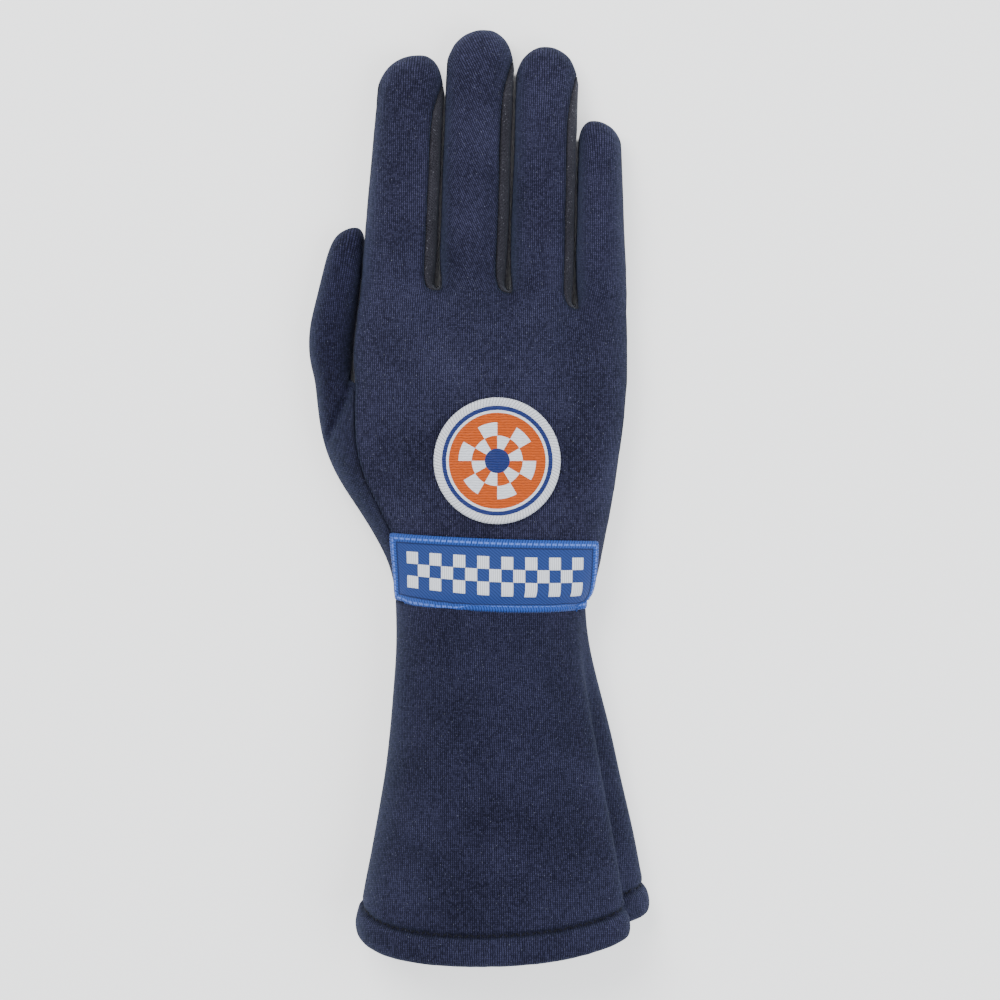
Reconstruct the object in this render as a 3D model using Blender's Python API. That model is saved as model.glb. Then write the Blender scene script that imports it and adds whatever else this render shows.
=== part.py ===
"""Right-hand racing glove with a long gauntlet cuff, lying palm down.

+Y runs from the cuff to the fingertips, +Z is up through the back of the hand, and the thumb is at -X.
The origin is the middle of the glove's outline, on the surface that the glove lies on.
The glove is first drawn as one skin, the outer face of the cloth. Each face of the skin belongs to a
panel, and each panel then becomes a cloth wall of its own, a seam gap away from its neighbours.
"""

import math
from collections import namedtuple

import bmesh
import bpy
from mathutils import Matrix, Vector
from mathutils.bvhtree import BVHTree

MM = 0.001

# Cloth
WALL = 1.8 * MM
SEAM_GAP = 0.3 * MM
# The most that a wall thickens at a ridge, as a share of WALL
THICKEST = 1.25

# Hand
PALM_LENGTH = 107.5 * MM
PALM_HEIGHT = 29.0 * MM
WRIST_WIDTH = 66.5 * MM
WRIST_HEIGHT = 31.0 * MM
KNUCKLE_SPREAD = 2.2 * MM

# Fingers, from the line of the finger roots to the tips
INDEX_LENGTH = 83.0 * MM
MIDDLE_LENGTH = 92.0 * MM
RING_LENGTH = 89.5 * MM
LITTLE_LENGTH = 66.5 * MM
INDEX_WIDTH = 23.6 * MM
MIDDLE_WIDTH = 24.0 * MM
RING_WIDTH = 22.4 * MM
LITTLE_WIDTH = 16.9 * MM
FINGER_HEIGHT = 19.0 * MM
FINGER_GAP = 0.8 * MM
CROTCH_WIDTH = 3.0 * MM

# Thumb, from its crotch to its tip, and how far its root stands out beside the palm
THUMB_LENGTH = 55.0 * MM
THUMB_WIDTH = 16.4 * MM
THUMB_HEIGHT = 17.0 * MM
THUMB_REACH = 13.6 * MM
THUMB_TUCK = 0.1 * MM

# Gauntlet cuff, from the wrist seam to the sides of the hem
CUFF_LENGTH = 116.0 * MM
HEM_WIDTH = 100.0 * MM
HEM_HEIGHT = 41.0 * MM
HEM_SHIFT = 4.2 * MM
HEM_SLANT = 12.8 * MM
# How much shorter the cuff is along its right side than along its left
HEM_RISE = 5.6 * MM
HEM_BAND = 10.0 * MM
HEM_ROLL = 2.2 * MM
HEM_GROOVE = 0.7 * MM
SIDE_FOLD_DEPTH = 7.5 * MM

# Patches
PATCH_THICKNESS = 1.2 * MM
PATCH_GAP = 0.6 * MM
ROUND_PATCH_DIAMETER = 44.2 * MM
BAR_PATCH_WIDTH = 75.0 * MM
BAR_PATCH_HEIGHT = 24.0 * MM
PATCH_BORDER = 2.4 * MM
PATCH_BORDER_RISE = 0.5 * MM

# Roundness of the sections: 2 is an ellipse, more is fuller
TOP_FULLNESS = 2.2
UNDER_FULLNESS = 2.7
# How far the underside would pass through the surface if that did not flatten it
UNDER_PRESS = 1.2 * MM

# Columns of faces round the skin
FINGER_COLUMNS = 5
THUMB_COLUMNS = 4
WALL_ROWS = 3

# One row for each finger, from the thumb's side. root and tip are its widths there as shares of its
# width, crotch is how far up the palm it parts from the next finger, as a share of PALM_LENGTH, and
# tip_lean is how far its rounded tip leans to the right, as a share of half its width. The other four
# are the angles round it at which the back panel and the palm panel end.
FingerRow = namedtuple(
    "FingerRow",
    "name length width root tip crotch tip_lean left_seam right_seam left_under right_under",
)
FINGER_ROWS = [
    FingerRow("index", INDEX_LENGTH, INDEX_WIDTH, 1.12, 0.95, 1.005, 0.26, 177, 48, -152, -38),
    FingerRow("middle", MIDDLE_LENGTH, MIDDLE_WIDTH, 1.00, 0.98, 1.000, 0.12, 174, 48, -134, -38),
    FingerRow("ring", RING_LENGTH, RING_WIDTH, 1.00, 0.96, 0.942, -0.05, 174, 46, -134, -38),
    FingerRow("little", LITTLE_LENGTH, LITTLE_WIDTH, 1.10, 0.86, 0.942, -0.35, 174, 6, -134, -30),
]
# The fingers lie side by side, outwards from this one. Its middle line starts to the left of the
# hand's and moves to the right half way up and at the tip, all as shares of its width.
FIRST_FINGER = 1
FIRST_ROOT = -0.277
FIRST_BEND = 0.07
FIRST_LEAN = 0.13

# The palm is as wide as the finger roots side by side, and a little more at the knuckles
PALM_WIDTH = sum(row.width * row.root + FINGER_GAP for row in FINGER_ROWS) - FINGER_GAP + KNUCKLE_SPREAD

# The hand below the thumb's crotch. along is a share of PALM_LENGTH from the wrist seam. left and right
# go from the wrist's half width, 0, to the palm's, 1, and thumb is a share of THUMB_REACH, further
# left. crown goes from the wrist's height to the palm's, and the edges' heights are shares of the crown.
HeelRow = namedtuple("HeelRow", "along left right thumb crown left_mid right_mid")
HEEL_ROWS = [
    HeelRow(0.00, 0.00, 0.00, 0.00, 0.00, 0.47, 0.43),
    HeelRow(0.04, 0.04, 0.20, 0.00, 0.10, 0.46, 0.43),
    HeelRow(0.12, 0.16, 0.36, 0.00, 0.40, 0.44, 0.43),
    HeelRow(0.23, 0.35, 0.50, 0.27, 0.80, 0.39, 0.43),
    HeelRow(0.36, 0.60, 0.69, 0.67, 1.00, 0.34, 0.42),
    HeelRow(0.43, 0.70, 0.76, 0.91, 1.00, 0.32, 0.42),
    HeelRow(0.55, 0.88, 0.90, 1.00, 1.00, 0.31, 0.42),
    HeelRow(0.70, 1.00, 1.00, 1.00, 1.00, 0.31, 0.42),
]

# The hand above the thumb's crotch. left and right are shares of the palm's half width, crown is a
# share of PALM_HEIGHT, and the edges' heights are shares of the crown.
KnuckleRow = namedtuple("KnuckleRow", "along left right crown left_mid right_mid")
KNUCKLE_ROWS = [
    KnuckleRow(0.70, 1.010, 1.000, 1.00, 0.60, 0.42),
    KnuckleRow(0.76, 1.012, 1.000, 0.99, 0.59, 0.42),
    KnuckleRow(0.85, 0.998, 1.000, 0.95, 0.56, 0.43),
    KnuckleRow(0.94, 0.975, 0.995, 0.89, 0.53, 0.44),
    KnuckleRow(1.00, 0.960, 0.990, 0.84, 0.51, 0.45),
]

# The cuff. along is a share of CUFF_LENGTH from the wrist seam. width and crown go from the wrist's, 0,
# to the hem's, 1, shift is a share of HEM_SHIFT to the right, fold of SIDE_FOLD_DEPTH, and the edges'
# heights are shares of the crown.
CuffRow = namedtuple("CuffRow", "along width shift crown left_mid right_mid fold")
CUFF_ROWS = [
    CuffRow(0.00, 0.00, 0.00, 0.00, 0.47, 0.43, 0.00),
    CuffRow(0.12, 0.01, 0.06, 0.03, 0.47, 0.42, 0.06),
    CuffRow(0.22, 0.11, 0.29, 0.10, 0.46, 0.40, 0.30),
    CuffRow(0.36, 0.26, 0.62, 0.25, 0.43, 0.36, 0.62),
    CuffRow(0.51, 0.44, 0.83, 0.42, 0.40, 0.32, 0.82),
    CuffRow(0.65, 0.62, 0.95, 0.58, 0.38, 0.29, 0.90),
    CuffRow(0.87, 0.92, 1.00, 0.85, 0.35, 0.26, 0.96),
    CuffRow(1.00, 1.00, 1.00, 1.00, 0.33, 0.25, 1.00),
]
FOLD_ANGLE = 17.0
FOLD_SPREAD = 9.0

# One profile for all fingers. along is a share of the finger's length, and under and top are the
# heights of its underside and its crown as shares of FINGER_HEIGHT.
ProfileRow = namedtuple("ProfileRow", "along under top")
FINGER_PROFILE = [
    ProfileRow(0.00, 0.05, 1.24),
    ProfileRow(0.10, 0.08, 1.20),
    ProfileRow(0.25, 0.13, 1.16),
    ProfileRow(0.45, 0.15, 1.13),
    ProfileRow(0.65, 0.10, 1.05),
    ProfileRow(0.82, 0.03, 0.93),
    ProfileRow(1.00, 0.00, 0.80),
]

# The thumb. width is a share of THUMB_WIDTH, and top of THUMB_HEIGHT.
ThumbRow = namedtuple("ThumbRow", "along width top")
THUMB_ROWS = [
    ThumbRow(0.00, 0.80, 1.00),
    ThumbRow(0.08, 0.86, 0.99),
    ThumbRow(0.20, 0.97, 0.98),
    ThumbRow(0.30, 1.00, 0.97),
    ThumbRow(0.45, 0.98, 0.94),
    ThumbRow(0.60, 0.90, 0.90),
    ThumbRow(0.75, 0.84, 0.84),
    ThumbRow(0.88, 0.74, 0.76),
    ThumbRow(1.00, 0.66, 0.68),
]
THUMB_TIP_LEAN = 0.3
THUMB_CROTCH = 0.703

# Folds and dips of the upper side. Ends are shares of PALM_WIDTH from the middle line and of
# PALM_LENGTH from the wrist seam, and depth and spread are shares of PALM_HEIGHT.
FoldRow = namedtuple("FoldRow", "name from_x from_y to_x to_y depth spread")
FOLD_ROWS = [
    FoldRow("thumb_root", -0.515, 0.71, -0.60, 0.48, 0.08, 0.13),
    FoldRow("index_middle_knuckles", -0.198, 1.02, -0.170, 0.86, 0.08, 0.13),
    FoldRow("middle_ring_knuckles", 0.058, 1.02, 0.050, 0.86, 0.08, 0.13),
    FoldRow("ring_little_knuckles", 0.299, 0.96, 0.265, 0.80, 0.08, 0.13),
]

FULL_TURN = 360.0

# Angles of the seams round the hand, and those of the thumb's strip at the wrist
LEFT_SEAM = 174.0
LEFT_UNDER = -153.0
RIGHT_SEAM = 6.0
RIGHT_UNDER = -30.0
WRIST_THUMB_SEAM = 156.0
WRIST_THUMB_UNDER = -138.0
# Rings of the skin below the thumb's crotch, as shares of PALM_LENGTH, and above it, of the rest
HEEL_STATIONS = [0.0, 0.05, 0.12, 0.21, 0.30, 0.39, 0.47, 0.55, 0.63]
KNUCKLE_STATIONS = [0.10, 0.28, 0.48, 0.68, 0.86]
# Where the thumb parts from the hand, as a share of THUMB_REACH outside the palm's edge
THUMB_CROTCH_SHARE = 0.13

# Rings along a finger, and turns round its tip in degrees
FINGER_STATIONS = [0.035, 0.12, 0.26, 0.42, 0.59, 0.75]
TIP_TURNS = [0.0, 30.0, 54.0, 73.0]
TIP_RADIUS = 0.47
# Where the seams start to move to the middle of the sides, and their angles at the tip
SEAM_EASE_START = 0.78
TIP_SEAM = 14.0
TIP_UNDER = -14.0
# Up to where the rings follow the slant of the root line, and the palm's height
SLANT_END = 0.45
ROOT_BLEND = 0.40
# How far in from a finger's sides the palm's slope under it is read
ROOT_SIDE = 0.2
# The least room before a tip's first ring, as a share of the tip's radius
RING_CLEARANCE = 0.25
# How far the skin is smoothed round the crotches, as shares of CROTCH_WIDTH, and how often
CROTCH_SOFT_REACH = 3.0
THUMB_SOFT_REACH = 2.5
SOFT_ROUNDS = 2

# Rings along the thumb, its tip as a share of its width, and the angles of its seams
THUMB_STATIONS = [0.07, 0.17, 0.29, 0.42, 0.55, 0.68, 0.80]
THUMB_TIP_RADIUS = 0.36
SeamRow = namedtuple("SeamRow", "left_seam right_seam left_under right_under")
THUMB_SEAMS = SeamRow(168.0, 12.0, -148.0, -32.0)

# Rings of the cuff, as shares of CUFF_LENGTH
CUFF_STATIONS = [0.0, 0.07, 0.16, 0.26, 0.37, 0.48, 0.59, 0.70, 0.80]
# Its columns: finer round the side fold
ArcRow = namedtuple("ArcRow", "start end steps")
CUFF_ARCS = [ArcRow(180.0, 44.0, 13), ArcRow(44.0, -8.0, 10), ArcRow(-8.0, -180.0, 15)]
# Rings of the hem, as a share of HEM_BAND from its end, with how far each stands out: a share of
# HEM_ROLL for the rolled edge, and of HEM_GROOVE, inwards, for the stitched groove.
HemRow = namedtuple("HemRow", "back roll groove")
HEM_ROWS = [
    HemRow(1.45, 0.00, 0.0),
    HemRow(1.13, 0.20, 0.0),
    HemRow(1.00, 0.20, 1.0),
    HemRow(0.87, 0.60, 0.0),
    HemRow(0.50, 1.00, 0.0),
    HemRow(0.15, 0.85, 0.0),
    HemRow(0.00, 0.30, 0.0),
]

# The patches. Their middles are shares of PALM_WIDTH and of PALM_LENGTH from the wrist seam.
WALK_STEP = 1.0 * MM
LOWERINGS = 5
PatchPlace = namedtuple("PatchPlace", "across along")
ROUND_PATCH_AT = PatchPlace(0.026, 0.452)
ROUND_PATCH_SIDES = 28
ROUND_PATCH_RINGS = 3
BAR_PATCH_AT = PatchPlace(0.019, 0.098)
BAR_PATCH_LONG_STEPS = 18
BAR_PATCH_SHORT_STEPS = 4
# How far its upper and lower edges sag, as shares of BAR_PATCH_HEIGHT, and its tilt in degrees
BAR_PATCH_BOW_HIGH = 0.035
BAR_PATCH_BOW_LOW = 0.11
BAR_PATCH_TILT = -2.2
# Where the border is highest, as a share of its width from the inside
BORDER_CREST = 0.75

# How much of a corner's pull counts where two cut edges of a panel meet at less than a right angle
CORNER_LIMIT = 0.5
SHARP_ANGLE = 50.0
CLOTH_ROUGHNESS = 0.9
PATCH_ROUGHNESS = 0.7

Colour = namedtuple("Colour", "red green blue")
NAVY = Colour(0.030, 0.036, 0.073)
DARK = Colour(0.022, 0.022, 0.034)
ROYAL = Colour(0.045, 0.130, 0.450)
ORANGE = Colour(0.760, 0.200, 0.030)

PANELS = [
    "back_panel",
    "palm_panel",
    "fourchette_index_middle",
    "fourchette_middle_ring",
    "fourchette_ring_little",
    "thumb_back",
]
FOURCHETTES = [name for name in PANELS if name.startswith("fourchette")]


def mix(low, high, share):
    return low + (high - low) * share


def read(rows, column, at):
    """One column of a table as a smooth curve through its rows."""
    places = [row.along for row in rows]
    values = [getattr(row, column) for row in rows]
    last = len(rows) - 1
    at = min(max(at, places[0]), places[-1])
    k = next(i for i in range(last) if at <= places[i + 1])

    def slope(i):
        low, high = max(i - 1, 0), min(i + 1, last)
        return (values[high] - values[low]) / (places[high] - places[low])

    width = places[k + 1] - places[k]
    s = (at - places[k]) / width
    return (
        values[k] * (1 + 2 * s) * (1 - s) ** 2
        + slope(k) * width * s * (1 - s) ** 2
        + values[k + 1] * s * s * (3 - 2 * s)
        - slope(k + 1) * width * s * s * (1 - s)
    )


def power(value, exponent):
    """The power of a value's size, with the value's sign."""
    return math.copysign(abs(value) ** exponent, value)


def spread(start, end, count):
    """count + 1 values from start to end."""
    return [mix(start, end, i / count) for i in range(count + 1)]


def oval(left, right, left_mid, right_mid, crown, under, angle):
    """A point of a rounded section: 180 degrees is its left edge, 90 its crown and -90 its underside."""
    turn = math.radians(angle)
    rise = math.sin(turn)
    fullness = TOP_FULLNESS if rise >= 0 else UNDER_FULLNESS
    across = power(math.cos(turn), 2 / fullness)
    edge = mix(left_mid, right_mid, (across + 1) / 2)
    reach = crown - edge if rise >= 0 else edge - under
    x = mix(left, right, (across + 1) / 2)
    return x, max(0.0, edge + reach * power(rise, 2 / fullness))


def angle_at(share, upper):
    """The angle at which a section passes a share of its half width."""
    fullness = TOP_FULLNESS if upper else UNDER_FULLNESS
    angle = math.degrees(math.acos(max(-1.0, min(1.0, power(share, fullness / 2)))))
    return angle if upper else -angle


class Ring:
    """One turn round a tube: its upper and under points run left to right, its side points downwards."""

    def __init__(self, top, right, under, left):
        self.top = top
        self.right = right
        self.under = under
        self.left = left

    def sides(self):
        """The four strips with the corners that they share."""
        return {
            "top": self.top,
            "right": [self.top[-1], *self.right, self.under[-1]],
            "under": self.under[::-1],
            "left": [self.under[0], *self.left[::-1], self.top[0]],
        }

    def loop(self):
        return [*self.top, *self.right, *self.under[::-1], *self.left[::-1]]


class Skin:
    """The outer face of the cloth, with the panel of each face."""

    def __init__(self):
        self.mesh = bmesh.new()
        self.panel = self.mesh.faces.layers.int.new("panel")

    def ring(self, place, top, right, under, left):
        """A ring whose points are place(angle) at four lists of angles, the side ones without corners."""
        lists = (top, right, under, left)
        return Ring(*[[self.mesh.verts.new(place(angle)) for angle in angles] for angles in lists])

    def face(self, corners, panel):
        made = self.mesh.faces.new(corners)
        made[self.panel] = PANELS.index(panel)
        made.smooth = True

    def join(self, low, high, panels):
        """Faces between two rings. panels names each side's panel, or lists it face by face."""
        for side, lower in low.sides().items():
            upper = high.sides()[side]
            for i in range(len(lower) - 1):
                panel = panels[side] if isinstance(panels[side], str) else panels[side][i]
                self.face((lower[i], lower[i + 1], upper[i + 1], upper[i]), panel)

    def chain(self, top, under):
        """The side points of a crotch between an upper and an under point."""
        points = []
        for i in range(1, WALL_ROWS):
            share = i / WALL_ROWS
            points.append(self.mesh.verts.new(top.co.lerp(under.co, share)))
        return points

    def split(self, ring, spans, panels):
        """Splits a ring into one ring for each span of its columns, with a crotch floor between them."""
        parts = []
        for start, end in spans:
            top = ring.top[start:end + 1]
            under = ring.under[start:end + 1]
            left = ring.left if start == 0 else self.chain(top[0], under[0])
            right = ring.right if end == len(ring.top) - 1 else self.chain(top[-1], under[-1])
            parts.append(Ring(top, right, under, left))
        for before, after, panel in zip(parts, parts[1:], panels):
            right = before.sides()["right"]
            left = after.sides()["left"][::-1]
            for i in range(len(right) - 1):
                self.face((right[i], left[i], left[i + 1], right[i + 1]), panel)
        return parts

    def cap(self, ring, tip, panels):
        """Closes a tube with faces from its last ring to its tip."""
        point = self.mesh.verts.new(tip)
        for side, corners in ring.sides().items():
            for i in range(len(corners) - 1):
                panel = panels[side] if isinstance(panels[side], str) else panels[side][i]
                self.face((corners[i], corners[i + 1], point), panel)


def fold_drop(x, y):
    """How far the folds and dips lower the upper side at a place."""
    drop = 0.0
    for row in FOLD_ROWS:
        start = Vector((row.from_x * PALM_WIDTH, row.from_y * PALM_LENGTH))
        end = Vector((row.to_x * PALM_WIDTH, row.to_y * PALM_LENGTH))
        line = end - start
        share = max(0.0, min(1.0, (Vector((x, y)) - start).dot(line) / line.length_squared))
        away = (Vector((x, y)) - start - line * share).length
        drop += row.depth * PALM_HEIGHT * math.exp(-((away / (row.spread * PALM_HEIGHT)) ** 2))
    return drop


def finger_width(row, along):
    return row.width * mix(row.root, row.tip, min(1.0, max(0.0, along)))


def finger_root(number):
    """How far up the hand a finger starts: half way between its two crotches."""
    left = FINGER_ROWS[max(number - 1, 0)].crotch
    return (left + FINGER_ROWS[number].crotch) / 2 * PALM_LENGTH


def finger_middle(number, y):
    """The middle line of a finger at a place along the hand."""
    row = FINGER_ROWS[number]
    if number == FIRST_FINGER:
        along = (y - finger_root(number)) / row.length
        curve = 2 * FIRST_LEAN - 4 * FIRST_BEND
        return row.width * (FIRST_ROOT + (FIRST_LEAN - curve) * along + curve * along * along)
    side = -1 if number < FIRST_FINGER else 1
    inner = number - side
    widths = [
        finger_width(FINGER_ROWS[one], (y - finger_root(one)) / FINGER_ROWS[one].length)
        for one in (number, inner)
    ]
    return finger_middle(inner, y) + side * (sum(widths) / 2 + FINGER_GAP)


def root_edges(number):
    """The two sides of a finger at its root, across the palm."""
    middle = finger_middle(number, finger_root(number))
    half = finger_width(FINGER_ROWS[number], 0.0) / 2
    return middle - half, middle + half


def crotch_line(x):
    """How far up the hand the line of the finger roots lies, at a place across it."""
    for number, row in enumerate(FINGER_ROWS):
        left, right = root_edges(number)
        if x <= right or row is FINGER_ROWS[-1]:
            across = max(0.0, min(1.0, (x - left) / (right - left)))
            return mix(FINGER_ROWS[max(number - 1, 0)].crotch, row.crotch, across) * PALM_LENGTH
    return PALM_LENGTH


class Section:
    """A section of the hand or the cuff: its edges, their heights, and the height of its crown."""

    def __init__(self, left, right, row_mids, crown):
        self.left = left
        self.right = right
        self.left_mid, self.right_mid = [share * crown for share in row_mids]
        self.crown = crown

    def at(self, angle):
        return oval(self.left, self.right, self.left_mid, self.right_mid, self.crown, -UNDER_PRESS, angle)

    def angle(self, x, upper):
        middle = (self.left + self.right) / 2
        return angle_at((x - middle) / (self.right - self.left) * 2, upper)


def heel_section(along):
    wrist, palm = WRIST_WIDTH / 2, PALM_WIDTH / 2
    left = -mix(wrist, palm, read(HEEL_ROWS, "left", along)) - read(HEEL_ROWS, "thumb", along) * THUMB_REACH
    right = mix(wrist, palm, read(HEEL_ROWS, "right", along))
    crown = mix(WRIST_HEIGHT, PALM_HEIGHT, read(HEEL_ROWS, "crown", along))
    mids = [read(HEEL_ROWS, side, along) for side in ("left_mid", "right_mid")]
    return Section(left, right, mids, crown)


def knuckle_section(along):
    half = PALM_WIDTH / 2
    left = -read(KNUCKLE_ROWS, "left", along) * half
    right = read(KNUCKLE_ROWS, "right", along) * half
    crown = read(KNUCKLE_ROWS, "crown", along) * PALM_HEIGHT
    mids = [read(KNUCKLE_ROWS, side, along) for side in ("left_mid", "right_mid")]
    return Section(left, right, mids, crown)


def cuff_section(along):
    half = mix(WRIST_WIDTH, HEM_WIDTH, read(CUFF_ROWS, "width", along)) / 2
    shift = read(CUFF_ROWS, "shift", along) * HEM_SHIFT
    crown = mix(WRIST_HEIGHT, HEM_HEIGHT, read(CUFF_ROWS, "crown", along))
    mids = [read(CUFF_ROWS, side, along) for side in ("left_mid", "right_mid")]
    return Section(shift - half, shift + half, mids, crown)


def palm_top(x):
    """The height of the palm's upper side along the line of the finger roots."""
    section = knuckle_section(1.0)
    inside = max(section.left, min(section.right, x))
    return section.at(section.angle(inside, True))[1]


def hand_left(y):
    """The left edge of the palm or of the first finger, beside the thumb."""
    root = finger_root(0)
    if y < root:
        return knuckle_section(y / PALM_LENGTH).left
    row = FINGER_ROWS[0]
    return finger_middle(0, y) - finger_width(row, (y - root) / row.length) / 2


def hand_place(section, base, climb):
    """A function from an angle to a point of a section at base. climb bends it to the finger roots."""

    def place(angle):
        x, z = section.at(angle)
        y = mix(base, crotch_line(x), climb)
        if math.sin(math.radians(angle)) > 0:
            z -= fold_drop(x, y)
        return Vector((x, y, z))

    return place


def palm_angles(section, upper, left_seam, right_seam):
    """Angles of the palm's columns in a section, so that they run into the fingers' columns."""
    gap = CROTCH_WIDTH / 2
    last = len(FINGER_ROWS) - 1
    angles = []
    for number in range(last + 1):
        left, right = root_edges(number)
        first = left_seam if number == 0 else section.angle(left + gap, upper)
        final = right_seam if number == last else section.angle(right - gap, upper)
        angles += spread(first, final, FINGER_COLUMNS)
    return angles


def right_angles(seam, under):
    """The angles of the right side's points between its corners."""
    return spread(seam, under, WALL_ROWS)[1:-1]


def left_angles(seam, under):
    """The angles of the left side's points between its corners, past 180 degrees."""
    return spread(seam, under + FULL_TURN, WALL_ROWS)[1:-1]


def blend(low, high, share):
    return [mix(a, b, share) for a, b in zip(low, high)]


def build_heel(skin):
    """The hand from the wrist seam to the thumb's crotch, which ends in a ring for each branch."""
    columns = len(FINGER_ROWS) * FINGER_COLUMNS + len(FINGER_ROWS) - 1
    crotch_left = knuckle_section(THUMB_CROTCH).left - THUMB_CROTCH_SHARE * THUMB_REACH
    crotch_right = crotch_left + CROTCH_WIDTH
    high = heel_section(THUMB_CROTCH)
    corners = {True: (LEFT_SEAM, RIGHT_SEAM), False: (LEFT_UNDER, RIGHT_UNDER)}
    wrist, crotch = {}, {}
    for upper, (first, last) in corners.items():
        thumb_end = WRIST_THUMB_SEAM if upper else WRIST_THUMB_UNDER
        wrist[upper] = spread(first, thumb_end, THUMB_COLUMNS)
        wrist[upper] += spread(thumb_end, last, columns + 1)[1:]
        crotch[upper] = spread(first, high.angle(crotch_left, upper), THUMB_COLUMNS)
        crotch[upper] += palm_angles(high, upper, high.angle(crotch_right, upper), last)
    panels = {
        "top": ["thumb_back"] * (THUMB_COLUMNS + 1) + ["back_panel"] * columns,
        "right": "palm_panel",
        "under": "palm_panel",
        "left": "thumb_back",
    }
    below = None
    for station in [*HEEL_STATIONS, THUMB_CROTCH]:
        share = station / THUMB_CROTCH
        ring = skin.ring(
            hand_place(heel_section(station), station * PALM_LENGTH, 0.0),
            blend(wrist[True], crotch[True], share),
            right_angles(RIGHT_SEAM, RIGHT_UNDER),
            blend(wrist[False], crotch[False], share),
            left_angles(LEFT_SEAM, LEFT_UNDER),
        )
        if below:
            skin.join(below, ring, panels)
        below = ring
    spans = [(0, THUMB_COLUMNS), (THUMB_COLUMNS + 1, len(below.top) - 1)]
    return skin.split(below, spans, ["thumb_back"])


def build_knuckles(skin, ring):
    """The hand from the thumb's crotch to the finger roots, which ends in a ring for each finger."""
    panels = {"top": "back_panel", "right": "palm_panel", "under": "palm_panel", "left": "palm_panel"}
    for share in [*KNUCKLE_STATIONS, 1.0]:
        section = knuckle_section(mix(THUMB_CROTCH, 1.0, share))
        made = skin.ring(
            hand_place(section, THUMB_CROTCH * PALM_LENGTH, share),
            palm_angles(section, True, LEFT_SEAM, RIGHT_SEAM),
            right_angles(RIGHT_SEAM, RIGHT_UNDER),
            palm_angles(section, False, LEFT_UNDER, RIGHT_UNDER),
            left_angles(LEFT_SEAM, LEFT_UNDER),
        )
        skin.join(ring, made, panels)
        ring = made
    step = FINGER_COLUMNS + 1
    spans = [(start, start + FINGER_COLUMNS) for start in range(0, len(ring.top), step)]
    return skin.split(ring, spans, FOURCHETTES)


def tube_angles(left_seam, right_seam, left_under, right_under, columns):
    """Angles round a finger or a thumb."""
    return (
        spread(left_seam, right_seam, columns),
        right_angles(right_seam, right_under),
        spread(left_under, right_under, columns),
        left_angles(left_seam, left_under),
    )


def tip_panels(panels):
    """The panels round a tip, where the back and the palm panel meet and no strip runs between."""
    upper = panels["top"]
    under = panels["under"]
    return {
        "top": upper,
        "right": [upper, upper, under],
        "under": under,
        "left": [under, upper, upper],
    }


def tube_stations(stations, straight, radius, length):
    """Places along a tube with how far its section has shrunk there: straight, then round the tip."""
    places = [(along, 1.0) for along in stations if along < straight - radius / length * RING_CLEARANCE]
    for turn in TIP_TURNS:
        turned = math.radians(turn)
        places.append((straight + math.sin(turned) * radius / length, math.cos(turned)))
    return places


def build_finger(skin, ring, number, panels):
    """One finger from its root ring to its tip."""
    row = FINGER_ROWS[number]
    radius = row.width * TIP_RADIUS
    straight = 1 - radius / row.length
    root = finger_root(number)
    left, right = root_edges(number)
    root_top = palm_top((left + right) / 2)
    low = mix(left, right, ROOT_SIDE)
    high = mix(right, left, ROOT_SIDE)
    root_slope = (palm_top(high) - palm_top(low)) / (high - low)

    def place_at(along, shrink):
        half = finger_width(row, along) / 2
        rooted = max(0.0, 1 - along / ROOT_BLEND) ** 2
        under = read(FINGER_PROFILE, "under", along) * FINGER_HEIGHT
        crown = mix(read(FINGER_PROFILE, "top", along) * FINGER_HEIGHT, root_top, rooted)
        mid = (under + crown) / 2
        base = root + along * row.length
        middle = finger_middle(number, base) + row.tip_lean * half * (1 - shrink)
        slant = max(0.0, 1 - along / SLANT_END)

        def place(angle):
            x, z = oval(-half, half, mid, mid, crown, under, angle)
            z += x * root_slope * rooted * max(0.0, math.sin(math.radians(angle)))
            x = middle + x * shrink
            y = base + (crotch_line(x) - root) * slant
            z = mid + (z - mid) * shrink
            if angle > 0:
                z -= fold_drop(x, y)
            return Vector((x, y, z))

        return place

    for along, shrink in tube_stations(FINGER_STATIONS, straight, radius, row.length):
        ease = min(1.0, max(0.0, (along - SEAM_EASE_START) / (straight - SEAM_EASE_START)))
        angles = tube_angles(
            mix(row.left_seam, 180 - TIP_SEAM, ease),
            mix(row.right_seam, min(row.right_seam, TIP_SEAM), ease),
            mix(row.left_under, -180 - TIP_UNDER, ease),
            mix(row.right_under, TIP_UNDER, ease),
            FINGER_COLUMNS,
        )
        made = skin.ring(place_at(along, shrink), *angles)
        skin.join(ring, made, panels if along <= straight else tip_panels(panels))
        ring = made
    skin.cap(ring, place_at(1.0, 0.0)(0.0), tip_panels(panels))


def build_fingers(skin, rings):
    lefts = ["palm_panel", *FOURCHETTES]
    rights = [*FOURCHETTES, "palm_panel"]
    for number, ring in enumerate(rings):
        panels = {
            "top": "back_panel",
            "right": rights[number],
            "under": "palm_panel",
            "left": lefts[number],
        }
        build_finger(skin, ring, number, panels)


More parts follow.
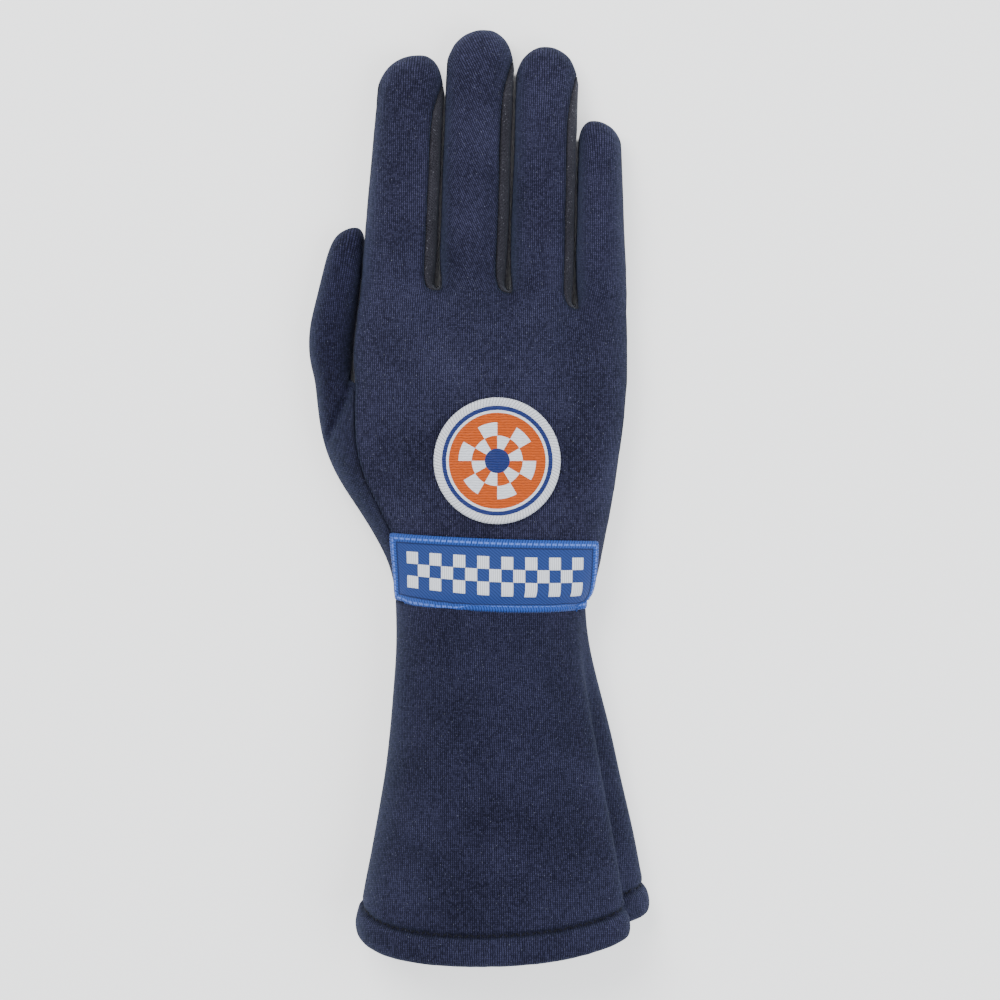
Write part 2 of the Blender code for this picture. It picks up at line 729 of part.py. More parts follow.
def build_thumb(skin, ring):
    """The thumb from its crotch to its tip, with its side tucked under the edge of the hand."""
    radius = THUMB_WIDTH * THUMB_TIP_RADIUS
    straight = 1 - radius / THUMB_LENGTH
    root = THUMB_CROTCH * PALM_LENGTH
    panels = {"top": "thumb_back", "right": "thumb_back", "under": "palm_panel", "left": "thumb_back"}

    def place_at(along, shrink):
        half = read(THUMB_ROWS, "width", along) * THUMB_WIDTH / 2
        crown = read(THUMB_ROWS, "top", along) * THUMB_HEIGHT
        mid = crown / 2
        y = root + along * THUMB_LENGTH
        middle = hand_left(y) + THUMB_TUCK - half + THUMB_TIP_LEAN * half * (1 - shrink)

        def place(angle):
            x, z = oval(-half, half, mid, mid, crown, 0.0, angle)
            return Vector((middle + x * shrink, y, mid + (z - mid) * shrink))

        return place

    for along, shrink in tube_stations(THUMB_STATIONS, straight, radius, THUMB_LENGTH):
        made = skin.ring(place_at(along, shrink), *tube_angles(*THUMB_SEAMS, THUMB_COLUMNS))
        skin.join(ring, made, panels)
        ring = made
    skin.cap(ring, place_at(1.0, 0.0)(0.0), tip_panels(panels))


def soften(skin, centres, reach):
    """Smooths the skin round the crotches, and leaves what lies on the surface flat."""
    near = [
        vert
        for vert in skin.mesh.verts
        if not vert.is_boundary
        and any((vert.co.xy - centre).length < reach for centre in centres)
    ]
    for _ in range(SOFT_ROUNDS):
        axes = {"use_axis_x": True, "use_axis_y": True, "use_axis_z": True}
        bmesh.ops.smooth_vert(skin.mesh, verts=near, factor=0.5, **axes)
    for vert in near:
        vert.co.z = max(vert.co.z, 0.0)


def build_hand_skin():
    skin = Skin()
    thumb, hand = build_heel(skin)
    fingers = build_knuckles(skin, hand)
    build_fingers(skin, fingers)
    build_thumb(skin, thumb)
    centres = []
    for number, row in enumerate(FINGER_ROWS[:-1]):
        x = (root_edges(number)[1] + root_edges(number + 1)[0]) / 2
        centres.append(Vector((x, row.crotch * PALM_LENGTH)))
    soften(skin, centres, CROTCH_WIDTH * CROTCH_SOFT_REACH)
    left = knuckle_section(THUMB_CROTCH).left
    soften(skin, [Vector((left, THUMB_CROTCH * PALM_LENGTH))], CROTCH_WIDTH * THUMB_SOFT_REACH)
    bmesh.ops.recalc_face_normals(skin.mesh, faces=skin.mesh.faces)
    return skin.mesh, skin.panel


def cuff_angles():
    angles = []
    for arc in CUFF_ARCS:
        angles += spread(arc.start, arc.end, arc.steps)[:-1]
    return angles


def cuff_place(along):
    """A function from an angle to a point of the cuff at a share of its length."""
    section = cuff_section(along)
    depth = read(CUFF_ROWS, "fold", along) * SIDE_FOLD_DEPTH

    def place(angle):
        x, z = section.at(angle)
        x -= depth * math.exp(-(((angle - FOLD_ANGLE) / FOLD_SPREAD) ** 2))
        turn = math.radians(angle)
        y = -along * (CUFF_LENGTH + HEM_SLANT * math.sin(turn) - HEM_RISE * (1 + math.cos(turn)) / 2)
        return Vector((x, y, z))

    return place


def build_cuff_skin():
    """The cuff's tube, and for each vertex how far the hem stands out there."""
    mesh = bmesh.new()
    stand = {}
    below = None
    rings = [(share, 0.0) for share in CUFF_STATIONS]
    for row in HEM_ROWS:
        out = row.roll * HEM_ROLL - row.groove * HEM_GROOVE
        rings.append((1.0 - row.back * HEM_BAND / CUFF_LENGTH, out))
    for along, out in rings:
        place = cuff_place(along)
        ring = [mesh.verts.new(place(angle)) for angle in cuff_angles()]
        stand.update((vert, out) for vert in ring)
        if below:
            for i in range(len(ring)):
                j = (i + 1) % len(ring)
                mesh.faces.new((ring[i], ring[j], below[j], below[i])).smooth = True
        below = ring
    bmesh.ops.recalc_face_normals(mesh, faces=mesh.faces)
    return mesh, stand


def pull_back(vert, faces):
    """How a panel's edge point moves into the panel, so that half the seam gap is free."""
    pulls = []
    for edge in vert.link_edges:
        own = [face for face in edge.link_faces if face in faces]
        if len(own) != 1:
            continue
        direction = (edge.other_vert(vert).co - vert.co).normalized()
        inward = own[0].calc_center_median() - vert.co
        inward -= direction * inward.dot(direction)
        pulls.append(inward.normalized())
    if not pulls:
        return Vector()
    total = sum(pulls, Vector())
    if len(pulls) == 2:
        total /= max(CORNER_LIMIT, 1 + pulls[0].dot(pulls[1]))
    return total * SEAM_GAP / 2


def edge_wall(body, outer, inner, start, end):
    """The two faces of a cut edge. Both cloths at a seam are halved the same way, and so stay apart."""
    corners = [outer[end], outer[start], inner[start], inner[end]]
    if start.index > end.index:
        corners = [*corners[1:], corners[0]]
    body.faces.new(corners[:3])
    body.faces.new([corners[0], *corners[2:]])


def wall_of(faces, stand):
    """A closed cloth wall under some faces of a skin. stand is how far a vertex stands out."""
    body = bmesh.new()
    outer, inner = {}, {}
    for face in faces:
        for vert in face.verts:
            if vert in outer:
                continue
            pull = pull_back(vert, faces)
            out = vert.co + vert.normal * stand.get(vert, 0.0) + pull
            out.z = max(out.z, 0.0)
            depth = WALL * min(vert.calc_shell_factor(), THICKEST)
            outer[vert] = body.verts.new(out)
            inner[vert] = body.verts.new(vert.co - vert.normal * depth + pull)
    for face in faces:
        body.faces.new([outer[vert] for vert in face.verts])
        body.faces.new([inner[vert] for vert in reversed(face.verts)])
        for loop in face.loops:
            if sum(other in faces for other in loop.edge.link_faces) == 1:
                edge_wall(body, outer, inner, loop.vert, loop.link_loop_next.vert)
    for face in body.faces:
        face.smooth = True
    bmesh.ops.recalc_face_normals(body, faces=body.faces)
    return body


def new_material(name, colour, roughness):
    material = bpy.data.materials.new(name)
    material.use_nodes = True
    shader = material.node_tree.nodes["Principled BSDF"]
    shader.inputs["Base Color"].default_value = (*colour, 1.0)
    shader.inputs["Roughness"].default_value = roughness
    shader.inputs["Metallic"].default_value = 0.0
    return material


def add_object(name, body, colour, roughness):
    mesh = bpy.data.meshes.new(name)
    body.to_mesh(mesh)
    body.free()
    mesh.set_sharp_from_angle(angle=math.radians(SHARP_ANGLE))
    made = bpy.data.objects.new(name, mesh)
    made.data.materials.append(new_material(name, colour, roughness))
    bpy.context.scene.collection.objects.link(made)
    return made


def nearest(trees, place):
    """The nearest place of the glove's skin, and the outward direction there."""
    hits = [tree.find_nearest(place) for tree in trees]
    ground, normal = min(hits, key=lambda hit: hit[3])[:2]
    return ground, normal


def cloth_under(trees, x, y):
    """The place and the outward direction of the glove's upper side at a place seen from above."""
    place = Vector((x, y, PALM_HEIGHT + WRIST_HEIGHT))
    for _ in range(LOWERINGS):
        ground, normal = nearest(trees, place)
        place.z = ground.z
    return ground, normal


def walk_across(trees, x, y, reach):
    """Where a tape measure laid sideways over the cloth ends, from x to a reach along the cloth."""
    place, normal = cloth_under(trees, x, y)
    steps = max(1, math.ceil(abs(reach) / WALK_STEP))
    for _ in range(steps):
        ahead = Vector((normal.z, 0.0, -normal.x)).normalized()
        place, normal = nearest(trees, place + ahead * (reach / steps))
    return place, normal


def sew_on(trees, plan, lift):
    """A patch from its flat plan: laid over the cloth, thickened, and raised along its border."""
    outward = plan.verts.layers.float_vector.new("outward")
    for vert in plan.verts:
        place, normal = walk_across(trees, vert.co.x - vert.co.z, vert.co.y, vert.co.z)
        vert[outward] = normal
        vert.co = place + normal * PATCH_GAP
    made = bmesh.ops.extrude_face_region(plan, geom=plan.faces[:], use_keep_orig=True)
    for part in made["geom"]:
        if isinstance(part, bmesh.types.BMVert):
            part.co += part[outward] * (PATCH_THICKNESS + part[lift])
    bmesh.ops.recalc_face_normals(plan, faces=plan.faces)
    return plan


def border_lines(half, steps):
    """Grid lines across a patch: even inside, with the raised border's two lines at each edge."""
    inside = spread(-half + PATCH_BORDER, half - PATCH_BORDER, steps)
    crest = half - PATCH_BORDER * BORDER_CREST
    return [-half, -crest, *inside, crest, half]


def build_round_patch(trees):
    """The round patch on the back of the hand."""
    plan = bmesh.new()
    lift = plan.verts.layers.float.new("lift")
    radius = ROUND_PATCH_DIAMETER / 2
    middle_x = ROUND_PATCH_AT.across * PALM_WIDTH
    middle_y = ROUND_PATCH_AT.along * PALM_LENGTH
    inner = plan.verts.new((middle_x, middle_y, 0.0))
    radii = [line for line in border_lines(radius, 2 * ROUND_PATCH_RINGS) if line > PATCH_BORDER / 2]
    below = None
    for reach in radii:
        ring = []
        for i in range(ROUND_PATCH_SIDES):
            turn = 2 * math.pi * i / ROUND_PATCH_SIDES
            across = reach * math.cos(turn)
            vert = plan.verts.new((middle_x + across, middle_y + reach * math.sin(turn), across))
            vert[lift] = PATCH_BORDER_RISE if reach > radii[-3] else 0.0
            ring.append(vert)
        for i in range(ROUND_PATCH_SIDES):
            j = (i + 1) % ROUND_PATCH_SIDES
            if below:
                plan.faces.new((below[i], ring[i], ring[j], below[j]))
            else:
                plan.faces.new((inner, ring[i], ring[j]))
        below = ring
    return sew_on(trees, plan, lift)


def build_bar_patch(trees):
    """The bar over the wrist seam: a tilted rectangle of cloth that sags in the middle."""
    plan = bmesh.new()
    lift = plan.verts.layers.float.new("lift")
    half_width = BAR_PATCH_WIDTH / 2
    half_height = BAR_PATCH_HEIGHT / 2
    slope = math.tan(math.radians(BAR_PATCH_TILT))
    columns = border_lines(half_width, BAR_PATCH_LONG_STEPS)
    rows = border_lines(half_height, BAR_PATCH_SHORT_STEPS)
    grid = []
    for row, up in enumerate(rows):
        line = []
        for column, across in enumerate(columns):
            bow = mix(BAR_PATCH_BOW_HIGH, BAR_PATCH_BOW_LOW, (1 - up / half_height) / 2)
            sag = bow * BAR_PATCH_HEIGHT * (1 - (across / half_width) ** 2)
            x = BAR_PATCH_AT.across * PALM_WIDTH + across
            y = BAR_PATCH_AT.along * PALM_LENGTH + up - sag + across * slope
            vert = plan.verts.new((x, y, across))
            from_edge = min(row, column, len(rows) - 1 - row, len(columns) - 1 - column)
            vert[lift] = PATCH_BORDER_RISE if from_edge <= 1 else 0.0
            line.append(vert)
        grid.append(line)
    for low, high in zip(grid, grid[1:]):
        for i in range(len(low) - 1):
            plan.faces.new((low[i], low[i + 1], high[i + 1], high[i]))
    return sew_on(trees, plan, lift)


def centre_on_origin(objects):
    """Moves every piece so that the glove's box has its middle at x = 0 and y = 0."""
    points = [vertex.co for piece in objects for vertex in piece.data.vertices]
    shift = Vector((
        -(min(p.x for p in points) + max(p.x for p in points)) / 2,
        -(min(p.y for p in points) + max(p.y for p in points)) / 2,
        -min(p.z for p in points),
    ))
    for piece in objects:
        piece.data.transform(Matrix.Translation(shift))


def main():
    for old in list(bpy.data.objects):
        bpy.data.objects.remove(old, do_unlink=True)
    skin, panel = build_hand_skin()
    cuff, stand = build_cuff_skin()
    for mesh in (skin, cuff):
        mesh.verts.index_update()
    trees = [BVHTree.FromBMesh(skin), BVHTree.FromBMesh(cuff)]
    objects = []
    for number, name in enumerate(PANELS):
        faces = {face for face in skin.faces if face[panel] == number}
        colour = NAVY if name in ("back_panel", "thumb_back") else DARK
        objects.append(add_object(name, wall_of(faces, {}), colour, CLOTH_ROUGHNESS))
    objects.append(add_object("cuff", wall_of(set(cuff.faces), stand), NAVY, CLOTH_ROUGHNESS))
    objects.append(add_object("round_patch", build_round_patch(trees), ORANGE, PATCH_ROUGHNESS))
    objects.append(add_object("bar_patch", build_bar_patch(trees), ROYAL, PATCH_ROUGHNESS))
    skin.free()
    cuff.free()
    centre_on_origin(objects)


main()
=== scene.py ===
"""The dressed racing glove: knitted cloth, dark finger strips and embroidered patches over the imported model.

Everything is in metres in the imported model's frame: +Y runs to the fingertips, +Z is up through the back of
the hand, and the thumb is at -X. Each cloth node is copied, smoothed, wrinkled and given a cloth map whose v
runs along the knit's wales, in metres.
"""

import logging
import math
from dataclasses import dataclass
from enum import Enum
from typing import Any, Callable

import bmesh
import bpy
import numpy as np
from mathutils import Matrix, Vector, noise
from mathutils.bvhtree import BVHTree
from mathutils.kdtree import KDTree


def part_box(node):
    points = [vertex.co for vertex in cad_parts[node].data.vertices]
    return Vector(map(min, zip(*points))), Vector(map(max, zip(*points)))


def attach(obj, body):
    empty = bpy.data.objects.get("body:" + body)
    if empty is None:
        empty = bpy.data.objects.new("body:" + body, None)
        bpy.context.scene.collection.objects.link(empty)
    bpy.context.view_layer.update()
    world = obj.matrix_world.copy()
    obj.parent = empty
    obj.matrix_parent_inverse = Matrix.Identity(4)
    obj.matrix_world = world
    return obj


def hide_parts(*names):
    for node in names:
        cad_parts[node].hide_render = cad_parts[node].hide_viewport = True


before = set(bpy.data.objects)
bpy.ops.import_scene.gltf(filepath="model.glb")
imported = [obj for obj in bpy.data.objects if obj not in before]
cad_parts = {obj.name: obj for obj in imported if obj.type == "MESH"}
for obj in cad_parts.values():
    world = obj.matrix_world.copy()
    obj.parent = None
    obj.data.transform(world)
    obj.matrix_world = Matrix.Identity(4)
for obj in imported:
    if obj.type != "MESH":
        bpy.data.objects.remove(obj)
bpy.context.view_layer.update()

MM = 0.001
SAME_PLACE = 0.01 * MM
FOLD_ANGLE = math.radians(62)
WAVE_START = Vector((7.1, 3.3, 1.9))
CLOTH_MAP = "cloth"
SEAM_REACH = "seam_reach"
LOG = logging.getLogger("racing_glove")

Colour = tuple[float, float, float]


def darker(colour: Colour, share: float) -> Colour:
    """A colour with only a share of its light."""
    return tuple(part * share for part in colour)


class Panel(Enum):
    """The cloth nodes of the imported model."""

    BACK = "back_panel"
    PALM = "palm_panel"
    INDEX_MIDDLE = "fourchette_index_middle"
    MIDDLE_RING = "fourchette_middle_ring"
    RING_LITTLE = "fourchette_ring_little"
    THUMB = "thumb_back"
    CUFF = "cuff"


class Field:
    """A number or vector that varies over a surface: one node socket with arithmetic."""

    def __init__(self, shader: "Shader", socket: bpy.types.NodeSocket) -> None:
        """Wraps a socket.

        Args:
            shader: the material that the socket belongs to.
            socket: the output socket.
        """
        self.shader = shader
        self.socket = socket

    def __add__(self, other: Any) -> "Field":
        """The sum."""
        return self.shader.math("ADD", self, other)

    __radd__ = __add__

    def __sub__(self, other: Any) -> "Field":
        """The difference."""
        return self.shader.math("SUBTRACT", self, other)

    def __rsub__(self, other: Any) -> "Field":
        """The difference, reflected."""
        return self.shader.math("SUBTRACT", other, self)

    def __mul__(self, other: Any) -> "Field":
        """The product."""
        return self.shader.math("MULTIPLY", self, other)

    __rmul__ = __mul__

    def __truediv__(self, other: Any) -> "Field":
        """The quotient."""
        return self.shader.math("DIVIDE", self, other)

    def __gt__(self, other: Any) -> "Field":
        """1 where this is greater."""
        return self.shader.math("GREATER_THAN", self, other)

    def __lt__(self, other: Any) -> "Field":
        """1 where this is less."""
        return self.shader.math("LESS_THAN", self, other)

    def sine(self) -> "Field":
        """The sine."""
        return self.shader.math("SINE", self)

    def size(self) -> "Field":
        """The absolute value."""
        return self.shader.math("ABSOLUTE", self)

    def part(self) -> "Field":
        """The part after the decimal point, which counts up again from 0."""
        return self.shader.math("FRACT", self)

    def whole(self) -> "Field":
        """The part before the decimal point."""
        return self.shader.math("FLOOR", self)

    def odd(self) -> "Field":
        """1 where the whole part is odd, and 0 where it is even."""
        return (self.whole() * 0.5).part() * 2.0

    def step(self, low: float, high: float) -> "Field":
        """A smooth step.

        Args:
            low: where the step starts, at 0.
            high: where it ends, at 1.

        Returns:
            The step's value.
        """
        settings = {"interpolation_type": "SMOOTHSTEP"}
        node = self.shader.node("ShaderNodeMapRange", settings, {"Value": self, "From Min": low, "From Max": high})
        return self.shader.out(node, "Result")


class Shader:
    """A material in the making, with one principled surface."""

    def __init__(
        self,
        name: str,
        roughness: float,
        sheen: float = 0.0,
        sheen_tint: Colour = (1.0, 1.0, 1.0),
        shine: float = 0.25,
        glow: float = 0.0,
    ) -> None:
        """Starts the material.

        Args:
            name: the material's name.
            roughness: the surface's roughness, where nothing varies it.
            sheen: how strongly loose fibres catch light at the edges.
            sheen_tint: the colour of that light.
            shine: how strongly the surface itself reflects, 0.5 for a smooth plastic.
            glow: how strongly it shines white.
        """
        self.material = bpy.data.materials.new(name)
        self.material.use_nodes = True
        self.tree = self.material.node_tree
        self.surface = self.tree.nodes["Principled BSDF"]
        self.surface.inputs["Roughness"].default_value = roughness
        self.surface.inputs["Specular IOR Level"].default_value = shine
        self.surface.inputs["Emission Color"].default_value = (1.0, 1.0, 1.0, 1.0)
        self.surface.inputs["Emission Strength"].default_value = glow
        self.surface.inputs["Sheen Weight"].default_value = sheen
        self.surface.inputs["Sheen Roughness"].default_value = 0.45
        self.surface.inputs["Sheen Tint"].default_value = (*sheen_tint, 1.0)

    def put(self, socket: bpy.types.NodeSocket, value: Any) -> None:
        """Sets or links an input.

        Args:
            socket: the input socket.
            value: a Field, a number, a colour or a vector.
        """
        if isinstance(value, Field):
            self.tree.links.new(value.socket, socket)
        elif isinstance(value, tuple) and socket.type == "RGBA":
            socket.default_value = (*value[:3], 1.0)
        else:
            socket.default_value = value

    def node(self, kind: str, settings: dict[str, Any], sockets: dict[str | int, Any]) -> bpy.types.Node:
        """Adds a node.

        Args:
            kind: the node's type.
            settings: its settings, which are set first.
            sockets: values or Fields for its inputs, by name or number.

        Returns:
            The node.
        """
        made = self.tree.nodes.new(kind)
        for key, value in settings.items():
            setattr(made, key, value)
        for key, value in sockets.items():
            self.put(made.inputs[key], value)
        return made

    def out(self, node: bpy.types.Node, name: str | int = 0) -> Field:
        """An output of a node, as a Field."""
        return Field(self, node.outputs[name])

    def math(self, operation: str, *values: Any) -> Field:
        """One Math node.

        Args:
            operation: what it works out.
            values: its inputs.

        Returns:
            The result.
        """
        return self.out(self.node("ShaderNodeMath", {"operation": operation}, dict(enumerate(values))))

    def parts(self, where: Field) -> tuple[Field, Field]:
        """The first two numbers of a vector."""
        split = self.node("ShaderNodeSeparateXYZ", {}, {0: where})
        return self.out(split, 0), self.out(split, 1)

    def cloth(self) -> tuple[Field, Field]:
        """The place on the cloth, across and along the wales, in metres."""
        return self.parts(self.out(self.node("ShaderNodeUVMap", {"uv_map": CLOTH_MAP}, {})))

    def place(self) -> Field:
        """The place in the glove, in metres."""
        return self.out(self.node("ShaderNodeTexCoord", {}, {}), "Object")

    def attribute(self, name: str) -> Field:
        """A number stored on the piece's points."""
        return self.out(self.node("ShaderNodeAttribute", {"attribute_name": name}, {}), "Fac")

    def vector(self, x: Any, y: Any, z: Any = 0.0) -> Field:
        """A vector from three numbers."""
        return self.out(self.node("ShaderNodeCombineXYZ", {}, {0: x, 1: y, 2: z}))

    def cloud(self, where: Field, scale: float, detail: float = 2.0, roughness: float = 0.5) -> Field:
        """Smooth noise from 0 to 1.

        Args:
            where: the place that it is read at.
            scale: how many lumps there are in a metre, where the place is in metres.
            detail: how many finer layers it has.
            roughness: how strong they are.

        Returns:
            The noise.
        """
        sockets = {"Vector": where, "Scale": scale, "Detail": detail, "Roughness": roughness}
        return self.out(self.node("ShaderNodeTexNoise", {}, sockets), 0)

    def scatter(self, where: Field) -> Field:
        """A number from 0 to 1 that has nothing to do with that of the next whole place."""
        return self.out(self.node("ShaderNodeTexWhiteNoise", {}, {"Vector": where}), "Value")

    def cells(self, where: Field, scale: float) -> Field:
        """The distance to the nearest of many scattered points."""
        return self.out(self.node("ShaderNodeTexVoronoi", {}, {"Vector": where, "Scale": scale}), "Distance")

    def blend(self, share: Any, low: Any, high: Any) -> Field:
        """A colour between two colours.

        Args:
            share: 0 for the first and 1 for the second.
            low: the first colour.
            high: the second colour.

        Returns:
            The colour.
        """
        made = self.node("ShaderNodeMix", {"data_type": "RGBA"}, {0: share, 6: low, 7: high})
        return self.out(made, 2)

    def finish(self, colour: Field, height: Field, depth: float, roughness: Field | None = None) -> bpy.types.Material:
        """Joins the patterns to the surface.

        Args:
            colour: the base colour.
            height: the relief, from 0 to 1.
            depth: how deep the relief is, in metres.
            roughness: the roughness, where it varies.

        Returns:
            The material.
        """
        self.put(self.surface.inputs["Base Color"], colour)
        if roughness is not None:
            self.put(self.surface.inputs["Roughness"], roughness)
        bump = self.node("ShaderNodeBump", {}, {"Strength": 1.0, "Distance": depth, "Height": height})
        self.put(self.surface.inputs["Normal"], self.out(bump))
        return self.material


@dataclass(frozen=True)
class KnitFinish:
    """Melange jersey knit: fine wales, uneven yarn, light flecks and a soft bluish bloom, with painted shade in the
    valleys between the stitches and darkening beside the seams that is partly stitches and partly painted shade.
    """

    name: str
    colour: Colour
    dark: Colour
    light: Colour
    wale: float = 0.74 * MM
    course: float = 0.62 * MM
    relief: float = 0.24 * MM

    def material(self) -> bpy.types.Material:
        """Builds the knit.

        Returns:
            The material.
        """
        shader = Shader(self.name, 0.88, sheen=0.10, sheen_tint=(0.45, 0.62, 1.0), shine=0.12)
        across, along = shader.cloth()
        drift = (shader.cloud(shader.vector(across, along), 260.0, 3.0) - 0.5) * (0.75 * MM)
        wale = (across + drift) / self.wale
        rib = (wale * math.pi).sine().size()
        course = (wale.part() - 0.5).size() * 1.3 + along / self.course
        loop = (course.part() * math.pi).sine()
        stitch = shader.scatter(shader.vector(wale.whole(), course.whole()))
        yarn = shader.cloud(shader.vector(wale.whole() * 3.7, along / (2.4 * MM)), 1.0, 3.0, 0.7)
        hair = shader.cloud(shader.vector(across, along), 3400.0, 2.0, 0.7)
        patchy = shader.cloud(shader.place(), 38.0, 3.0, 0.55)
        tone = (stitch * 0.15 + yarn * 0.17 + hair * 0.40 + patchy * 0.28).step(0.28, 0.72)
        shade = shader.blend(tone, self.dark, self.colour)
        # Painted shade: the valleys between the wales and between the loops are darkened towards a very dark navy.
        valley_shade = (rib.step(0.12, 0.85) * 0.88 + 0.12) * (loop.step(0.10, 0.80) * 0.72 + 0.28)
        shade = shader.blend(valley_shade, darker(self.dark, 0.30), shade)
        fibre = shader.vector(across / (0.9 * MM), along / (1.6 * MM))
        fleck = shader.cells(fibre, 1.0).step(0.17, 0.06) * shader.cloud(fibre, 0.9).step(0.50, 0.60)
        shade = shader.blend(fleck * 0.42, shade, self.light)
        # Partly dark stitches and partly painted shade: the knit darkens within 1.8 mm of a cut edge or the hem's
        # groove, as shade in the seam's fold.
        seam = shader.attribute(SEAM_REACH).step(0.0, 1.8 * MM)
        shade = shader.blend(seam * 0.55 + 0.45, darker(self.dark, 0.3), shade)
        height = rib * 0.50 + loop * rib * 0.30 + hair * 0.35
        return shader.finish(shade, height, self.relief)


@dataclass(frozen=True)
class SuedeFinish:
    """Dark suede-like cloth with a fine slanting twill, scattered lighter fibres, and darkening beside the seams that
    is partly stitches and partly painted shade.
    """

    name: str
    colour: Colour
    dark: Colour
    light: Colour
    twill: float = 0.62 * MM
    relief: float = 0.20 * MM

    def material(self) -> bpy.types.Material:
        """Builds the suede.

        Returns:
            The material.
        """
        shader = Shader(self.name, 0.92, sheen=0.14, sheen_tint=(0.75, 0.82, 1.0), shine=0.12)
        across, along = shader.cloth()
        slant = ((across + along * 0.8) / self.twill * math.pi).sine().size()
        where = shader.vector(across, along)
        nap = shader.cloud(where, 1900.0, 3.0, 0.75)
        worn = shader.cloud(shader.place(), 60.0, 3.0, 0.55)
        tone = (nap * 0.66 + worn * 0.16 + slant * 0.18).step(0.42, 0.60)
        shade = shader.blend(tone, self.dark, self.colour)
        fibre = shader.cells(where, 1100.0).step(0.30, 0.08) * shader.cloud(where, 420.0).step(0.44, 0.60)
        shade = shader.blend(fibre * 0.7, shade, self.light)
        # Partly dark stitches and partly painted shade: the suede darkens within 1.2 mm of a cut edge, as shade in the
        # seam's fold.
        seam = shader.attribute(SEAM_REACH).step(0.0, 1.2 * MM)
        shade = shader.blend(seam * 0.5 + 0.5, darker(self.dark, 0.3), shade)
        return shader.finish(shade, nap * 0.7 + slant * 0.3, self.relief)


@dataclass(frozen=True)
class TwillFinish:
    """Royal-blue twill with a stitched border and a strip of white satin-stitch blocks."""

    name: str
    ground: Colour
    border: Colour
    thread: Colour
    width: float
    height: float
    border_width: float
    block: float
    blocks: int
    block_rows: int
    relief: float = 0.30 * MM

    def material(self) -> bpy.types.Material:
        """Builds the bar patch's cloth, whose map is 0 at the patch's middle.

        Returns:
            The material.
        """
        shader = Shader(self.name, 0.62, sheen=0.10)
        across, along = shader.cloth()
        twill = ((across * 0.75 + along) / (1.05 * MM) * math.pi).sine().size()
        weave = twill.step(0.1, 0.9) * 0.7 + shader.cloud(shader.vector(across, along), 2400.0, 2.0, 0.7) * 0.5
        ground = shader.blend(weave, darker(self.ground, 0.40), self.ground)
        edge = shader.math("MINIMUM", self.width / 2 - across.size(), self.height / 2 - along.size())
        rim = 1.0 - edge.step(self.border_width - 0.25 * MM, self.border_width + 0.05 * MM)
        side = across.size() - self.width / 2 + self.height / 2 > along.size()
        run = side * along + (1.0 - side) * across
        stitch = ((run + edge * 0.35) / (0.95 * MM) * math.pi).sine().size()
        lane = ((edge - self.border_width * 0.55) / (0.30 * MM)).size().step(1.6, 0.6)
        cord = shader.blend(stitch.step(0.05, 0.75), darker(self.border, 0.32), self.border)
        light = tuple(min(1.0, part * 1.7 + 0.10) for part in self.border)
        cord = shader.blend(lane * (run / (2.1 * MM)).part().step(0.18, 0.30) * 0.8, cord, light)
        inner = (edge - self.border_width - 0.25 * MM).size().step(0.32 * MM, 0.08 * MM)
        shade = shader.blend(rim, ground, cord)
        shade = shader.blend(inner * 0.75, shade, darker(self.ground, 0.18))
        column = across / self.block + self.blocks / 2
        row = along / self.block + self.block_rows / 2
        inside = (column > 0.0) * (column < self.blocks) * (row > 0.0) * (row < self.block_rows)
        block = inside * (1.0 - (column.whole() + row.whole()).odd())
        satin = (across / (0.72 * MM) * math.pi).sine().size()
        white = shader.blend(satin.step(0.0, 0.8), darker(self.thread, 0.55), self.thread)
        shade = shader.blend(block, shade, white)
        height = rim * stitch * 0.8 + (1.0 - rim) * (twill * 0.25 * (1.0 - block) + satin * 0.4 * block)
        return shader.finish(shade, height, self.relief)


@dataclass(frozen=True)
class WheelFinish:
    """Satin stitch of the round patch: border, ring, field and a chequered wheel round a hub."""

    name: str
    white: Colour
    blue: Colour
    orange: Colour
    radius: float
    border_width: float
    ring: float
    ring_width: float
    wheel: float
    wheel_middle: float
    hub: float
    sectors: int
    relief: float = 0.26 * MM

    def material(self) -> bpy.types.Material:
        """Builds the embroidery, whose map is 0 at the patch's middle.

        Returns:
            The material.
        """
        shader = Shader(self.name, 0.50, sheen=0.15)
        across, along = shader.cloth()
        reach = shader.math("SQRT", across * across + along * along)
        turn = shader.math("ARCTAN2", along, across) / (2 * math.pi) + 0.5
        sector = turn * self.sectors
        inner = reach < self.wheel_middle
        checker = (sector + inner).odd()
        on_wheel = (reach < self.wheel) * (reach > self.hub)
        where = shader.vector(across, along)
        rows = ((along / (0.92 * MM) + shader.cloud(where, 420.0) * 0.9) * math.pi).sine().size()
        strand = shader.cloud(shader.vector(across / 6.0, along), 3600.0, 2.0, 0.6)
        stitches = math.pi * round(2 * math.pi * self.radius / (1.15 * MM))
        spokes = (turn * stitches + (reach - self.radius) / (0.9 * MM)).sine().size()
        chain = ((reach - self.radius + self.border_width * 0.5) / (0.55 * MM) * math.pi).sine().size()
        rows_soft = rows.step(0.0, 0.75) * 0.55 + strand.step(0.30, 0.70) * 0.45
        orange = shader.blend(rows_soft, darker(self.orange, 0.45), self.orange)
        white = shader.blend(rows_soft, darker(self.white, 0.66), self.white)
        blue = shader.blend(rows_soft, darker(self.blue, 0.45), self.blue)
        edge = shader.blend(
            spokes.step(0.05, 0.60) * (chain * 0.45 + 0.55),
            darker(self.white, 0.50),
            self.white,
        )
        shade = shader.blend(on_wheel * checker, orange, white)
        shade = shader.blend(reach < self.hub, shade, blue)
        ring_low, ring_high = self.ring - self.ring_width / 2, self.ring + self.ring_width / 2
        gap = (reach > ring_low - 0.9 * MM) * (reach < self.radius)
        shade = shader.blend(gap, shade, white)
        shade = shader.blend((reach > ring_low) * (reach < ring_high), shade, blue)
        rim = reach > self.radius - self.border_width
        shade = shader.blend(rim, shade, edge)
        height = rim * (spokes * 0.7 + chain * 0.3) + (1.0 - rim) * rows * 0.55
        return shader.finish(shade, height, self.relief)


